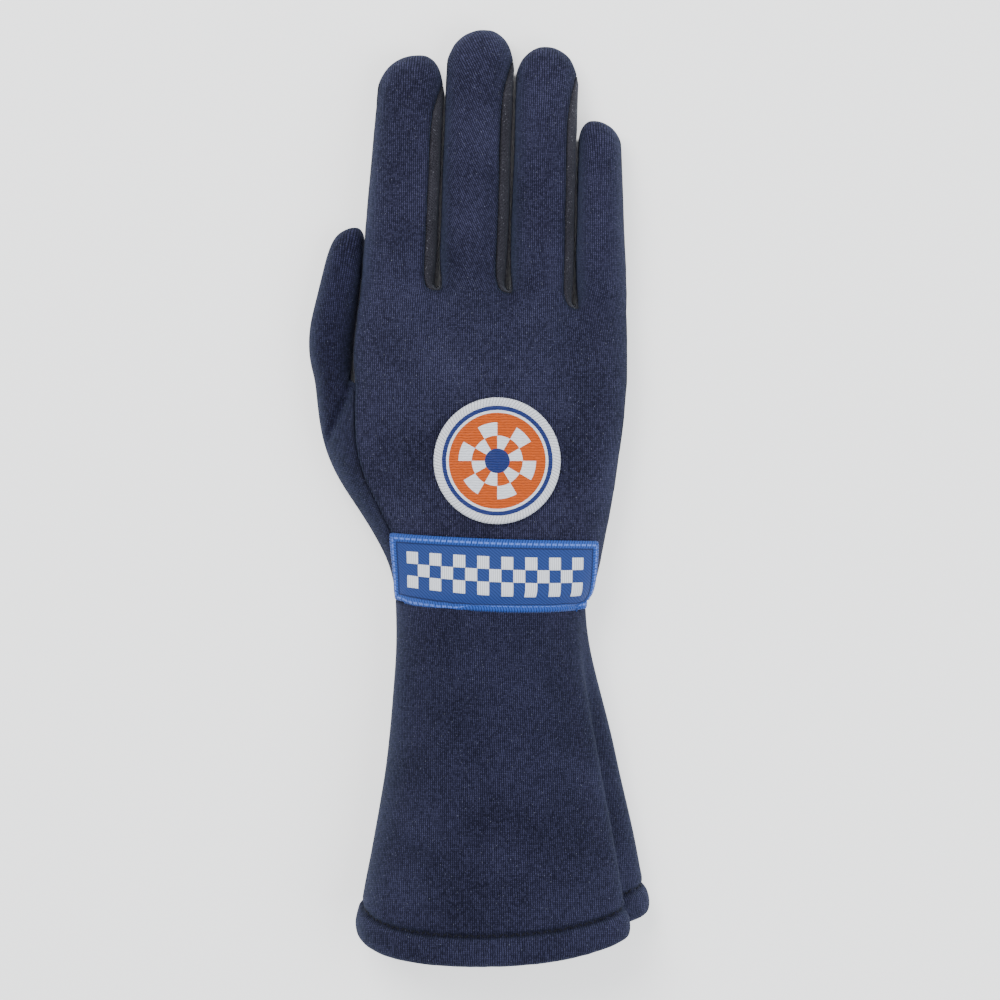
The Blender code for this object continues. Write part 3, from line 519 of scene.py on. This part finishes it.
@dataclass(frozen=True)
class ThreadFinish:
    """Twisted sewing thread."""

    name: str
    colour: Colour

    def material(self) -> bpy.types.Material:
        """Builds the thread.

        Returns:
            The material.
        """
        shader = Shader(self.name, 0.75)
        twist = shader.cloud(shader.place(), 2600.0, 1.0).step(0.35, 0.65)
        shade = shader.blend(twist, darker(self.colour, 0.5), self.colour)
        return shader.finish(shade, twist, 0.05 * MM)


@dataclass(frozen=True)
class PaperFinish:
    """The pale paper floor, which glows softly and evenly except in strips between the fingers and beside the thumb,
    where the glow is cut off as painted shade.
    """

    name: str = "pale_floor"
    colour: Colour = (0.93, 0.935, 0.94)
    glow: float = 1.0
    painted_shade_slits: tuple[tuple[float, float, float, float], ...] = (
        (-15.3 * MM, 68.0 * MM, -13.4 * MM, 142.0 * MM),
        (10.0 * MM, 67.0 * MM, 12.2 * MM, 149.0 * MM),
        (32.7 * MM, 61.0 * MM, 34.9 * MM, 126.0 * MM),
        (-46.0 * MM, 30.0 * MM, -40.5 * MM, 84.0 * MM),
    )
    slit_reach: float = 4.0 * MM

    def material(self) -> bpy.types.Material:
        """Builds the floor.

        Returns:
            The material.
        """
        shader = Shader(self.name, 0.95, glow=self.glow)
        grain = shader.cloud(shader.place(), 90.0, 2.0)
        shade = shader.blend(grain, darker(self.colour, 0.995), self.colour)
        x, y = shader.parts(shader.place())
        # Painted shade: along each slit between the fingers and beside the thumb, the floor's glow is turned off so
        # that the floor reads dark there.
        glow = 1.0
        for low_x, low_y, high_x, high_y in self.painted_shade_slits:
            away = (x - low_x - (y - low_y) * ((high_x - low_x) / (high_y - low_y))).size()
            beside = 1.0 - away.step(self.slit_reach, self.slit_reach + 2.0 * MM)
            between = y.step(low_y - 2.0 * MM, low_y) * (1.0 - y.step(high_y - 2.0 * MM, high_y))
            glow = (1.0 - beside * between) * glow
        shader.put(shader.surface.inputs["Emission Color"], shader.blend(glow, (0.0, 0.0, 0.0), (1.0, 1.0, 1.0)))
        return shader.finish(shade, grain, 0.01 * MM)


NAVY_KNIT = KnitFinish("navy_knit", (0.072, 0.074, 0.154), (0.007, 0.007, 0.021), (0.36, 0.39, 0.48))
# Painted shade: the thumb's knit is a darker copy of the navy knit, for the shade that falls on the thumb beside the
# hand.
SHADED_THUMB_KNIT = KnitFinish("thumb_knit_painted_shade", (0.049, 0.051, 0.120), (0.004, 0.004, 0.013), (0.26, 0.29, 0.36))
CUFF_KNIT = KnitFinish("cuff_knit", (0.056, 0.058, 0.127), (0.005, 0.005, 0.017), (0.29, 0.32, 0.40))
DARK_SUEDE = SuedeFinish("dark_suede", (0.050, 0.048, 0.062), (0.004, 0.004, 0.007), (0.24, 0.24, 0.28))
DARK_THREAD = ThreadFinish("dark_thread", (0.006, 0.007, 0.014))


def packed_mesh(panel: Panel) -> bmesh.types.BMesh:
    """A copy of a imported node's mesh with its points merged, which the caller frees."""
    mesh = bmesh.new()
    mesh.from_mesh(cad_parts[panel.value].data)
    bmesh.ops.remove_doubles(mesh, verts=mesh.verts, dist=SAME_PLACE)
    return mesh


def is_cut(edge: bmesh.types.BMEdge) -> bool:
    """Whether an edge of a packed panel is a cut edge of the cloth, which turns sharply outwards."""
    return len(edge.link_faces) == 2 and edge.calc_face_angle_signed(0.0) > FOLD_ANGLE


def new_piece(name: str, mesh: bmesh.types.BMesh, material: bpy.types.Material) -> bpy.types.Object:
    """Makes a smooth-shaded object that rides on the glove.

    Args:
        name: the piece's name.
        mesh: its mesh, which is freed.
        material: its material.

    Returns:
        The object, at the origin.
    """
    data = bpy.data.meshes.new(name)
    mesh.to_mesh(data)
    mesh.free()
    for polygon in data.polygons:
        polygon.use_smooth = True
    data.materials.append(material)
    piece = bpy.data.objects.new(name, data)
    bpy.context.scene.collection.objects.link(piece)
    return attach(piece, "root") or piece


def applied(piece: bpy.types.Object) -> None:
    """Turns a piece's modifiers into its mesh."""
    depsgraph = bpy.context.evaluated_depsgraph_get()
    baked = bpy.data.meshes.new_from_object(piece.evaluated_get(depsgraph))
    old = piece.data
    piece.modifiers.clear()
    piece.data = baked
    bpy.data.meshes.remove(old)


@dataclass(frozen=True)
class Crease:
    """A line along which the cloth is pressed in, seen from above."""

    start: tuple[float, float]
    end: tuple[float, float]
    depth: float
    width: float

    def drop(self, where: Vector) -> float:
        """How deep the cloth is pressed in at a place."""
        start = Vector(self.start)
        line = Vector(self.end) - start
        share = max(0.0, min(1.0, (where.xy - start).dot(line) / line.length_squared))
        away = (where.xy - start - line * share).length
        return self.depth * math.exp(-((away / self.width) ** 2))


CREASES = (
    Crease((-0.0450, 0.0375), (-0.0555, 0.0130), 2.30 * MM, 1.5 * MM),
    Crease((-0.0465, 0.0300), (-0.0400, 0.0080), 0.30 * MM, 2.6 * MM),
    Crease((-0.0360, -0.0020), (-0.0300, -0.0140), 0.35 * MM, 2.4 * MM),
    Crease((-0.0240, -0.0420), (0.0120, -0.0460), 0.45 * MM, 3.6 * MM),
    Crease((0.0200, -0.0440), (0.0360, -0.0560), 0.40 * MM, 3.2 * MM),
    Crease((-0.0280, -0.0560), (-0.0180, -0.0760), 0.35 * MM, 4.0 * MM),
    Crease((0.0340, 0.0300), (0.0480, 0.0200), 0.30 * MM, 3.0 * MM),
    Crease((-0.0160, 0.0690), (-0.0180, 0.0620), 0.90 * MM, 3.2 * MM),
    Crease((0.0098, 0.0680), (0.0095, 0.0620), 0.70 * MM, 2.8 * MM),
    Crease((0.0325, 0.0620), (0.0315, 0.0560), 0.80 * MM, 3.0 * MM),
)


@dataclass(frozen=True)
class HemLine:
    """The line of the groove above the rolled hem, round the cuff."""

    length: float = 116.0 * MM
    slant: float = 12.8 * MM
    rise: float = 5.6 * MM
    band: float = 10.0 * MM
    middle: tuple[float, float] = (8.0 * MM, 13.5 * MM)
    half_width: float = 50.0 * MM
    half_height: float = 27.0 * MM
    fullness: float = 2.2
    steps: int = 1080

    def points(self, cloth: BVHTree) -> list[tuple[Vector, Vector]]:
        """Places along the groove, each with the cloth's outward direction.

        Args:
            cloth: the cuff's faces.

        Returns:
            The places and directions.
        """
        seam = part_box(Panel.CUFF.value)[1].y
        share = 1 - self.band / self.length
        found = []
        for number in range(self.steps):
            turn = 2 * math.pi * number / self.steps
            cos, sin = math.cos(turn), math.sin(turn)
            y = seam - share * (self.length + self.slant * sin - self.rise * (1 + cos) / 2)
            across = math.copysign(abs(cos) ** (2 / self.fullness), cos)
            up = math.copysign(abs(sin) ** (2 / self.fullness), sin)
            out = Vector((self.half_width * across, 0, self.half_height * up)) * 2
            hit, normal = cloth.ray_cast(Vector((self.middle[0], y, self.middle[1])) + out, -out)[:2]
            if hit:
                found.append((hit, normal if normal.dot(out) > 0 else -normal))
        return found


@dataclass
class ClothPanel:
    """One sewn panel of the glove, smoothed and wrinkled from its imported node."""

    panel: Panel
    finish: KnitFinish | SuedeFinish
    slot: str
    levels: int = 2
    edge_crease: float = 0.55
    wrinkle: float = 0.28 * MM
    wrinkle_size: float = 21.0 * MM
    pucker: float = 0.16 * MM
    pucker_size: float = 3.6 * MM
    pucker_reach: float = 5.0 * MM
    groove: float = 0.75 * MM
    groove_width: float = 1.2 * MM
    groove_uneven: float = 0.6
    groove_grain: float = 2.1 * MM
    bulge: float = 0.0
    bulge_reach: float = 2.5 * MM
    bulge_side: float = 0.3
    crease_level: float = 7.0 * MM
    crease_rise: float = 5.0 * MM
    floor_reach: float = 3.0 * MM
    parting: float | None = None
    cut_place: float = 8.0 * MM
    cut_level: float = 8.0 * MM

    def build(self) -> bpy.types.Object:
        """Builds the panel in place of its node.

        Returns:
            The panel.
        """
        mesh = packed_mesh(self.panel)
        bmesh.ops.join_triangles(
            mesh,
            faces=mesh.faces,
            cmp_seam=False,
            cmp_sharp=False,
            cmp_uvs=False,
            cmp_vcols=False,
            cmp_materials=False,
            angle_face_threshold=math.radians(50),
            angle_shape_threshold=math.radians(60),
        )
        self.mark_edges(mesh)
        piece = new_piece(self.panel.value + "_cloth", mesh, self.finish.material())
        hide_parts(self.panel.value)
        self.lay_map(piece)
        smooth = piece.modifiers.new("smooth", "SUBSURF")
        smooth.levels = smooth.render_levels = self.levels
        smooth.uv_smooth = "PRESERVE_BOUNDARIES"
        applied(piece)
        self.wrinkle_cloth(piece)
        return piece

    def mark_edges(self, mesh: bmesh.types.BMesh) -> None:
        """Marks the cut edges of the cloth as firm and as seams of the cloth map.

        Args:
            mesh: the panel's mesh.
        """
        crease = mesh.edges.layers.float.get("crease_edge") or mesh.edges.layers.float.new("crease_edge")
        for edge in mesh.edges:
            if is_cut(edge):
                edge.seam = True
                edge[crease] = self.edge_crease
            elif self.parting is not None:
                sides = {face.calc_center_median().y > self.parting for face in edge.link_faces}
                edge.seam = len(sides) == 2
        if self.panel is Panel.CUFF:
            self.cut_tube(mesh)

    def cut_tube(self, mesh: bmesh.types.BMesh) -> None:
        """Cuts the cuff's underside along the hand, outside and inside, so that its map opens flat.

        Args:
            mesh: the cuff's mesh.
        """
        faces = [face for face in mesh.faces if face.calc_center_median().z < self.cut_level]
        geom = {part for face in faces for part in (face, *face.edges, *face.verts)}
        place = Vector((self.cut_place, 0, 0))
        made = bmesh.ops.bisect_plane(mesh, geom=list(geom), dist=SAME_PLACE, plane_co=place, plane_no=(1, 0, 0))
        for part in made["geom_cut"]:
            if isinstance(part, bmesh.types.BMEdge):
                part.seam = True

    def lay_map(self, piece: bpy.types.Object) -> None:
        """Unrolls the cloth and turns each piece of the map so that its v runs along the hand, in metres.

        Args:
            piece: the panel.
        """
        piece.data.uv_layers.new(name=CLOTH_MAP)
        bpy.ops.object.select_all(action="DESELECT")
        bpy.context.view_layer.objects.active = piece
        piece.select_set(True)
        bpy.ops.object.mode_set(mode="EDIT")
        bpy.ops.mesh.select_all(action="SELECT")
        bpy.ops.uv.unwrap(method="ANGLE_BASED", margin=0.005)
        bpy.ops.object.mode_set(mode="OBJECT")
        mesh = bmesh.new()
        mesh.from_mesh(piece.data)
        layer = mesh.loops.layers.uv[CLOTH_MAP]
        for faces in islands(mesh):
            align_island(faces, layer)
        mesh.to_mesh(piece.data)
        mesh.free()

    def wrinkle_cloth(self, piece: bpy.types.Object) -> None:
        """Adds soft waves, puckers beside the seams, and each point's distance from the nearest seam.

        Args:
            piece: the panel, with its final number of points.
        """
        data = piece.data
        edges = SEAMS.distances(data)
        reach = data.attributes.new(SEAM_REACH, "FLOAT", "POINT")
        reach.data.foreach_set("value", edges)
        normals = [vertex.normal.copy() for vertex in data.vertices]
        for vertex, normal, distance in zip(data.vertices, normals, edges):
            where = vertex.co.copy()
            upper = max(0.0, min(1.0, (where.z - self.crease_level) / self.crease_rise))
            where.z -= upper * abs(normal.z) * sum(crease.drop(where) for crease in CREASES)
            if self.panel is Panel.CUFF:
                off = HEM_GROOVE.find(where)[2] / self.groove_width
                uneven = 1 + self.groove_uneven * noise.noise(where / self.groove_grain)
                where -= normal * (self.groove * uneven * math.exp(-off * off))
            wave = noise.noise(where / self.wrinkle_size + WAVE_START) * self.wrinkle
            beside = max(0.0, 1 - distance / self.pucker_reach)
            gather = noise.noise(where / self.pucker_size) * self.pucker * beside
            away = min(1.0, where.z / self.floor_reach)
            if normal.x > self.bulge_side:
                wave += self.bulge * min(1.0, distance / self.bulge_reach)
            vertex.co = where + normal * ((wave + gather) * away)
            vertex.co.z = max(vertex.co.z, 0.0)


class SeamLines:
    """Where the cloth panels end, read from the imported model."""

    def __init__(self, spacing: float = 1.0 * MM) -> None:
        """Gathers points along every cut edge.

        Args:
            spacing: how far apart the points are.
        """
        points = []
        for panel in Panel:
            mesh = packed_mesh(panel)
            for edge in mesh.edges:
                if is_cut(edge):
                    start, end = edge.verts[0].co, edge.verts[1].co
                    count = max(1, round((end - start).length / spacing))
                    points += [start.lerp(end, i / count) for i in range(count)]
            mesh.free()
        self.tree = KDTree(len(points))
        for number, point in enumerate(points):
            self.tree.insert(point, number)
        self.tree.balance()

    def distances(self, data: bpy.types.Mesh) -> list[float]:
        """How far each point of a mesh is from the nearest cut edge or the hem's groove, in metres."""
        trees = (self.tree, HEM_GROOVE)
        return [min(tree.find(vertex.co)[2] for tree in trees) for vertex in data.vertices]


def islands(mesh: bmesh.types.BMesh) -> list[list[bmesh.types.BMFace]]:
    """The groups of faces that seams part from each other.

    Args:
        mesh: a mesh with marked seams.

    Returns:
        The groups.
    """
    left = set(mesh.faces)
    groups = []
    while left:
        group = [left.pop()]
        for face in group:
            for edge in face.edges:
                if not edge.seam:
                    group += [other for other in edge.link_faces if other in left]
                    left.difference_update(edge.link_faces)
        groups.append(group)
    return groups


def align_island(faces: list[bmesh.types.BMFace], layer: bmesh.types.BMLayerItem) -> None:
    """Scales a group's map to metres and turns it so that v follows +Y.

    Args:
        faces: the group.
        layer: the map's layer.
    """
    spots = np.array([loop[layer].uv for face in faces for loop in face.loops])
    places = np.array([loop.vert.co for face in faces for loop in face.loops])
    flat = 0.0
    for face in faces:
        corners = [loop[layer].uv for loop in face.loops]
        flat += abs(sum(a.cross(b) for a, b in zip(corners, corners[1:] + corners[:1]))) / 2
    true = sum(face.calc_area() for face in faces)
    if flat < 1e-12:
        return
    scale = math.sqrt(true / flat)
    table = np.column_stack([spots, np.ones(len(spots))])
    slope = np.linalg.lstsq(table, places[:, 1], rcond=None)[0][:2]
    size = math.hypot(*slope) or 1.0
    cos, sin = slope[1] / size, slope[0] / size
    middle = spots.mean(0)
    for face in faces:
        for loop in face.loops:
            u, v = loop[layer].uv[0] - middle[0], loop[layer].uv[1] - middle[1]
            loop[layer].uv = ((u * cos - v * sin) * scale, (u * sin + v * cos) * scale)


def hem_groove() -> KDTree:
    """The places of the hem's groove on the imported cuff, to be searched."""
    mesh = bmesh.new()
    mesh.from_mesh(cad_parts[Panel.CUFF.value].data)
    places = HemLine().points(BVHTree.FromBMesh(mesh))
    mesh.free()
    tree = KDTree(len(places))
    for number, (place, _) in enumerate(places):
        tree.insert(place, number)
    tree.balance()
    return tree


SEAMS = SeamLines()
HEM_GROOVE = hem_groove()


@dataclass
class Glove:
    """The sewn cloth of the glove: every panel, in the order that they are sewn."""

    panels: tuple[ClothPanel, ...] = (
        ClothPanel(Panel.BACK, NAVY_KNIT, "navy_knit", parting=72.0 * MM),
        # The thumb wears the darker copy of the navy knit as painted shade.
        ClothPanel(Panel.THUMB, SHADED_THUMB_KNIT, "navy_knit", levels=3, parting=38.5 * MM),
        ClothPanel(Panel.PALM, DARK_SUEDE, "dark_suede"),
        ClothPanel(Panel.INDEX_MIDDLE, DARK_SUEDE, "dark_suede", bulge=0.60 * MM),
        ClothPanel(Panel.MIDDLE_RING, DARK_SUEDE, "dark_suede", bulge=0.60 * MM),
        ClothPanel(Panel.RING_LITTLE, DARK_SUEDE, "dark_suede", bulge=0.60 * MM),
        ClothPanel(Panel.CUFF, CUFF_KNIT, "cuff_knit", levels=3, wrinkle=0.45 * MM, wrinkle_size=27.0 * MM),
    )

    def build(self) -> list[bpy.types.Object]:
        """Builds every panel.

        Returns:
            The panels.
        """
        return [panel.build() for panel in self.panels]


class ClothTop:
    """The outer side of the finished cloth, for what is sewn onto it."""

    above = 30.0 * MM
    tries = 4
    turn = math.cos(math.radians(35))

    def __init__(self, pieces: list[bpy.types.Object]) -> None:
        """Gathers the pieces' faces.

        Args:
            pieces: the cloth.
        """
        mesh = bmesh.new()
        for piece in pieces:
            mesh.from_mesh(piece.data)
        self.tree = BVHTree.FromBMesh(mesh)
        mesh.free()

    def under(self, x: float, y: float) -> tuple[Vector, Vector]:
        """The place and outward direction of the cloth at a point seen from above, also over a seam's gap."""
        place = Vector((x, y, self.above))
        for _ in range(self.tries):
            ground, normal = self.tree.find_nearest(place)[:2]
            place.z = ground.z
        return place, normal

    def walk(self, x: float, y: float, reach: float, step: float) -> Vector:
        """Where a tape measure laid sideways over the cloth ends.

        Args:
            x: where it starts.
            y: its place along.
            reach: its length, negative to the left.
            step: the length of one step.

        Returns:
            The place of its end.
        """
        place, normal = self.under(x, y)
        ahead = Vector((1, 0, 0))
        count = max(1, math.ceil(abs(reach) / step))
        for _ in range(count):
            slope = Vector((normal.z, 0, -normal.x)).normalized()
            if slope.dot(ahead) > self.turn:
                ahead = slope
            place, normal = self.tree.find_nearest(place + ahead * (reach / count))[:2]
        return place


@dataclass
class Patch:
    """An embroidered patch: a disc or bar of cloth with a raised border, laid over the node that it replaces."""

    node: str
    slot: str
    gap: float = 0.6 * MM
    thickness: float = 1.2 * MM
    middle: tuple[float, float] = (0.0, 0.0)
    step: float = 1.0 * MM
    stiffness: int = 24

    def sew(self, mesh: bmesh.types.BMesh, cloth: "ClothTop", plan: Callable[[Vector], Vector]) -> None:
        """Lays a flat patch over the cloth and closes its underside.

        Args:
            mesh: the patch, flat, with its relief as the z of its points.
            cloth: the cloth under it.
            plan: the place seen from above of a point of the flat patch, before its bend sideways.
        """
        layer = mesh.loops.layers.uv.new(CLOTH_MAP)
        for face in mesh.faces:
            for loop in face.loops:
                loop[layer].uv = loop.vert.co.xy
        mesh.normal_update()
        if sum(face.normal.z for face in mesh.faces) < 0:
            bmesh.ops.reverse_faces(mesh, faces=mesh.faces)
        out = mesh.verts.layers.float_vector.new("out")
        relief = [vert.co.z for vert in mesh.verts]
        for vert in mesh.verts:
            place = plan(vert.co)
            vert.co = cloth.walk(self.middle[0], place.y, place.x - self.middle[0], self.step)
        inner = [vert for vert in mesh.verts if not vert.is_boundary]
        rim = [vert for vert in mesh.verts if vert.is_boundary]
        beside = {vert: [edge.other_vert(vert) for edge in vert.link_edges if edge.is_boundary] for vert in rim}
        for _ in range(self.stiffness):
            bmesh.ops.smooth_vert(mesh, verts=inner, factor=0.5, use_axis_x=True, use_axis_y=True, use_axis_z=True)
            heights = [sum(other.co.z for other in beside[vert]) / 2 for vert in rim]
            for vert, height in zip(rim, heights):
                vert.co.z = (vert.co.z + height) / 2
        mesh.normal_update()
        for vert, height in zip(mesh.verts, relief):
            vert[out] = vert.normal
            vert.co += vert.normal * (self.gap + self.thickness + height)
        rim = bmesh.ops.extrude_edge_only(mesh, edges=[edge for edge in mesh.edges if edge.is_boundary])
        for part in rim["geom"]:
            if isinstance(part, bmesh.types.BMVert):
                part.co -= part[out] * (self.thickness + self.gap * 0.7)
        bmesh.ops.holes_fill(mesh, edges=[edge for edge in mesh.edges if edge.is_boundary], sides=0)


@dataclass
class RoundPatch(Patch):
    """The round patch on the back of the hand."""

    node: str = "round_patch"
    slot: str = "orange_embroidery"
    radius: float = 21.9 * MM
    border_width: float = 2.6 * MM
    ring: float = 18.4 * MM
    ring_width: float = 1.5 * MM
    wheel: float = 13.4 * MM
    wheel_middle: float = 8.8 * MM
    hub: float = 4.3 * MM
    sectors: int = 12
    middle: tuple[float, float] = (6.3 * MM, 11.5 * MM)
    steps: int = 160
    rings: int = 34
    bead: float = 0.45 * MM

    def relief(self, reach: float) -> float:
        """How high the stitches stand over the cloth at a reach from the middle."""
        height = -0.25 * MM
        rim = (reach - self.radius + self.border_width / 2) / (self.border_width / 2)
        if abs(rim) < 1:
            height += self.bead * math.sqrt(1 - rim * rim)
        band = (reach - self.ring) / (self.ring_width / 2 + 0.3 * MM)
        if abs(band) < 1:
            height += 0.22 * MM * math.sqrt(1 - band * band)
        if reach < self.hub:
            height += 0.20 * MM * math.sqrt(max(0.0, 1 - (reach / self.hub) ** 4))
        return height

    def build(self, cloth: ClothTop) -> bpy.types.Object:
        """Builds the patch.

        Args:
            cloth: the cloth that it is sewn onto.

        Returns:
            The patch.
        """
        mesh = bmesh.new()
        line = [mesh.verts.new((reach, 0, 0)) for reach in np.linspace(0, self.radius, self.rings)]
        profile = line + [mesh.edges.new(pair) for pair in zip(line, line[1:])]
        bmesh.ops.spin(
            mesh,
            geom=profile,
            cent=(0, 0, 0),
            axis=(0, 0, 1),
            angle=2 * math.pi,
            steps=self.steps,
            use_merge=True,
        )
        bmesh.ops.remove_doubles(mesh, verts=mesh.verts, dist=0.001 * MM)
        for vert in mesh.verts:
            vert.co.z = self.relief(vert.co.xy.length)
        centre = Vector((*self.middle, 0.0))
        self.sew(mesh, cloth, lambda flat: flat + centre)
        finish = WheelFinish(
            self.slot,
            white=(0.88, 0.915, 1.0),
            blue=(0.013, 0.030, 0.180),
            orange=(0.660, 0.100, 0.003),
            radius=self.radius,
            border_width=self.border_width,
            ring=self.ring,
            ring_width=self.ring_width,
            wheel=self.wheel,
            wheel_middle=self.wheel_middle,
            hub=self.hub,
            sectors=self.sectors,
        )
        piece = new_piece("round_patch_embroidery", mesh, finish.material())
        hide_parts(self.node)
        return piece


@dataclass
class BarPatch(Patch):
    """The bar over the wrist seam."""

    node: str = "bar_patch"
    slot: str = "royal_twill"
    width: float = 74.6 * MM
    height: float = 23.6 * MM
    border_width: float = 2.6 * MM
    across_steps: int = 154
    up_steps: int = 48
    bead: float = 0.40 * MM
    block: float = 4.1 * MM
    blocks: int = 15
    block_rows: int = 3
    middle: tuple[float, float] = (5.65 * MM, -26.6 * MM)
    bow_high: float = 0.035
    bow_low: float = 0.11
    tilt: float = math.radians(-2.2)

    def in_block(self, across: float, up: float) -> float:
        """1 on a white satin-stitch block of the chequered strip, and 0 elsewhere."""
        column = across / self.block + self.blocks / 2
        row = up / self.block + self.block_rows / 2
        if not (0 <= column < self.blocks and 0 <= row < self.block_rows):
            return 0.0
        return float((int(column) + int(row)) % 2 == 0)

    def relief(self, across: float, up: float) -> float:
        """How high the stitches stand over the cloth at a place of the flat bar."""
        edge = min(self.width / 2 - abs(across), self.height / 2 - abs(up))
        height = -0.28 * MM
        rim = edge / self.border_width * 2 - 1
        if abs(rim) < 1:
            height += self.bead * math.sqrt(1 - rim * rim)
        return height + 0.30 * MM * self.in_block(across, up)

    def plan(self, flat: Vector) -> Vector:
        """Where a point of the flat bar lies, seen from above, before its bend sideways."""
        bow = self.bow_high + (self.bow_low - self.bow_high) * (1 - flat.y / self.height * 2) / 2
        sag = bow * self.height * (1 - (flat.x / self.width * 2) ** 2)
        return Vector((self.middle[0] + flat.x, self.middle[1] + flat.y - sag + flat.x * math.tan(self.tilt), 0.0))

    def build(self, cloth: ClothTop) -> bpy.types.Object:
        """Builds the patch.

        Args:
            cloth: the cloth that it is sewn onto.

        Returns:
            The patch.
        """
        mesh = bmesh.new()
        bmesh.ops.create_grid(mesh, x_segments=self.across_steps, y_segments=self.up_steps, size=0.5)
        for vert in mesh.verts:
            vert.co.x *= self.width
            vert.co.y *= self.height
            vert.co.z = self.relief(vert.co.x, vert.co.y)
        self.sew(mesh, cloth, self.plan)
        finish = TwillFinish(
            self.slot,
            ground=(0.020, 0.056, 0.250),
            border=(0.022, 0.090, 0.440),
            thread=(0.88, 0.915, 1.0),
            width=self.width,
            height=self.height,
            border_width=self.border_width,
            block=self.block,
            blocks=self.blocks,
            block_rows=self.block_rows,
        )
        piece = new_piece("bar_patch_embroidery", mesh, finish.material())
        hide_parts(self.node)
        return piece


@dataclass
class HemStitching:
    """The row of stitches in the groove above the rolled hem."""

    pitch: float = 1.8 * MM
    length: float = 2.3 * MM
    thickness: float = 0.70 * MM
    sunk: float = 0.05 * MM
    wander: float = 0.35 * MM
    zigzag: float = 0.85 * MM

    def places(self, cloth: BVHTree) -> list[tuple[Vector, Vector]]:
        """Even places along the groove, each with the cloth's outward direction.

        Args:
            cloth: the cuff's faces.

        Returns:
            The places and directions.
        """
        line = HemLine().points(cloth)
        kept, walked, last = [line[0]], 0.0, line[0][0]
        for place, normal in line:
            walked += (place - last).length
            last = place
            if walked >= self.pitch:
                walked = 0.0
                side = self.zigzag if len(kept) % 2 else -self.zigzag
                aside = Vector((0, noise.noise(place / (4 * MM)) * self.wander + side, 0))
                kept.append((place + aside, normal))
        return kept

    def build(self, cuff: bpy.types.Object) -> bpy.types.Object:
        """Builds the stitches.

        Args:
            cuff: the cuff's cloth.

        Returns:
            The stitches, as one piece.
        """
        mesh = bmesh.new()
        mesh.from_mesh(cuff.data)
        places = self.places(BVHTree.FromBMesh(mesh))
        mesh.free()
        stitches = bmesh.new()
        for (here, normal), (ahead, _) in zip(places, places[1:]):
            run = (ahead - here).normalized()
            side = normal.cross(run).normalized()
            turn = Matrix((run, side, run.cross(side))).transposed().to_4x4()
            made = bmesh.ops.create_uvsphere(stitches, u_segments=8, v_segments=5, radius=self.thickness / 2)
            for vert in made["verts"]:
                vert.co.x *= self.length / self.thickness
            place = Matrix.Translation(here.lerp(ahead, 0.5) - normal * self.sunk) @ turn
            bmesh.ops.transform(stitches, matrix=place, verts=made["verts"])
        piece = new_piece("hem_stitches", stitches, DARK_THREAD.material())
        return piece


@dataclass(frozen=True)
class SoftLight:
    """A soft square light that faces the glove."""

    name: str
    place: tuple[float, float, float]
    size: float
    watts: float
    colour: Colour

    def hang(self) -> None:
        """Hangs the light."""
        lamp = bpy.data.lights.new(self.name, "AREA")
        lamp.shape = "SQUARE"
        lamp.size = self.size
        lamp.energy = self.watts
        lamp.color = self.colour
        holder = bpy.data.objects.new(self.name, lamp)
        holder.location = self.place
        holder.rotation_euler = (-Vector(self.place)).to_track_quat("-Z", "Y").to_euler()
        bpy.context.scene.collection.objects.link(holder)


@dataclass
class Studio:
    """The pale floor, the soft lights and the camera straight above."""

    camera_height: float = 1.60
    frame_width: float = 0.350
    frame_level: float = 12.0 * MM
    aim: tuple[float, float] = (7.3 * MM, -2.05 * MM)
    floor_size: float = 6.0
    lights: tuple[SoftLight, ...] = (
        SoftLight("key", (-0.55, 0.75, 1.35), 0.9, 22.0, (1.0, 0.99, 0.97)),
        SoftLight("fill", (0.90, -0.35, 1.10), 1.1, 12.0, (0.94, 0.97, 1.0)),
    )
    sky: Colour = (0.93, 0.96, 1.0)
    sky_strength: float = 0.62

    def floor(self) -> bpy.types.Object:
        """Lays the floor.

        Returns:
            The floor.
        """
        mesh = bmesh.new()
        bmesh.ops.create_grid(mesh, x_segments=1, y_segments=1, size=self.floor_size / 2)
        data = bpy.data.meshes.new("floor")
        mesh.to_mesh(data)
        mesh.free()
        data.materials.append(PaperFinish().material())
        floor = bpy.data.objects.new("floor", data)
        bpy.context.scene.collection.objects.link(floor)
        return floor

    def camera(self) -> bpy.types.Object:
        """Sets the camera straight above.

        Returns:
            The camera.
        """
        lens = bpy.data.cameras.new("camera")
        lens.sensor_fit = "HORIZONTAL"
        lens.angle = 2 * math.atan(self.frame_width / 2 / (self.camera_height - self.frame_level))
        camera = bpy.data.objects.new("camera", lens)
        camera.location = (*self.aim, self.camera_height)
        bpy.context.scene.collection.objects.link(camera)
        bpy.context.scene.camera = camera
        return camera

    def build(self) -> None:
        """Sets the stage."""
        self.floor()
        for light in self.lights:
            light.hang()
        world = bpy.data.worlds.new("studio")
        world.use_nodes = True
        world.node_tree.nodes["Background"].inputs["Color"].default_value = (*self.sky, 1.0)
        world.node_tree.nodes["Background"].inputs["Strength"].default_value = self.sky_strength
        bpy.context.scene.world = world
        self.camera()


def main() -> None:
    """Builds the glove, what is sewn onto it, and the studio."""
    logging.basicConfig(level=logging.INFO, format="%(name)s: %(message)s")
    Studio().build()
    cloth = Glove().build()
    top = ClothTop(cloth)
    pieces = [*cloth, HemStitching().build(cloth[-1]), RoundPatch().build(top), BarPatch().build(top)]
    for piece in pieces:
        LOG.info("%s: %d faces", piece.name, len(piece.data.polygons))


if __name__ == "__main__":
    main()
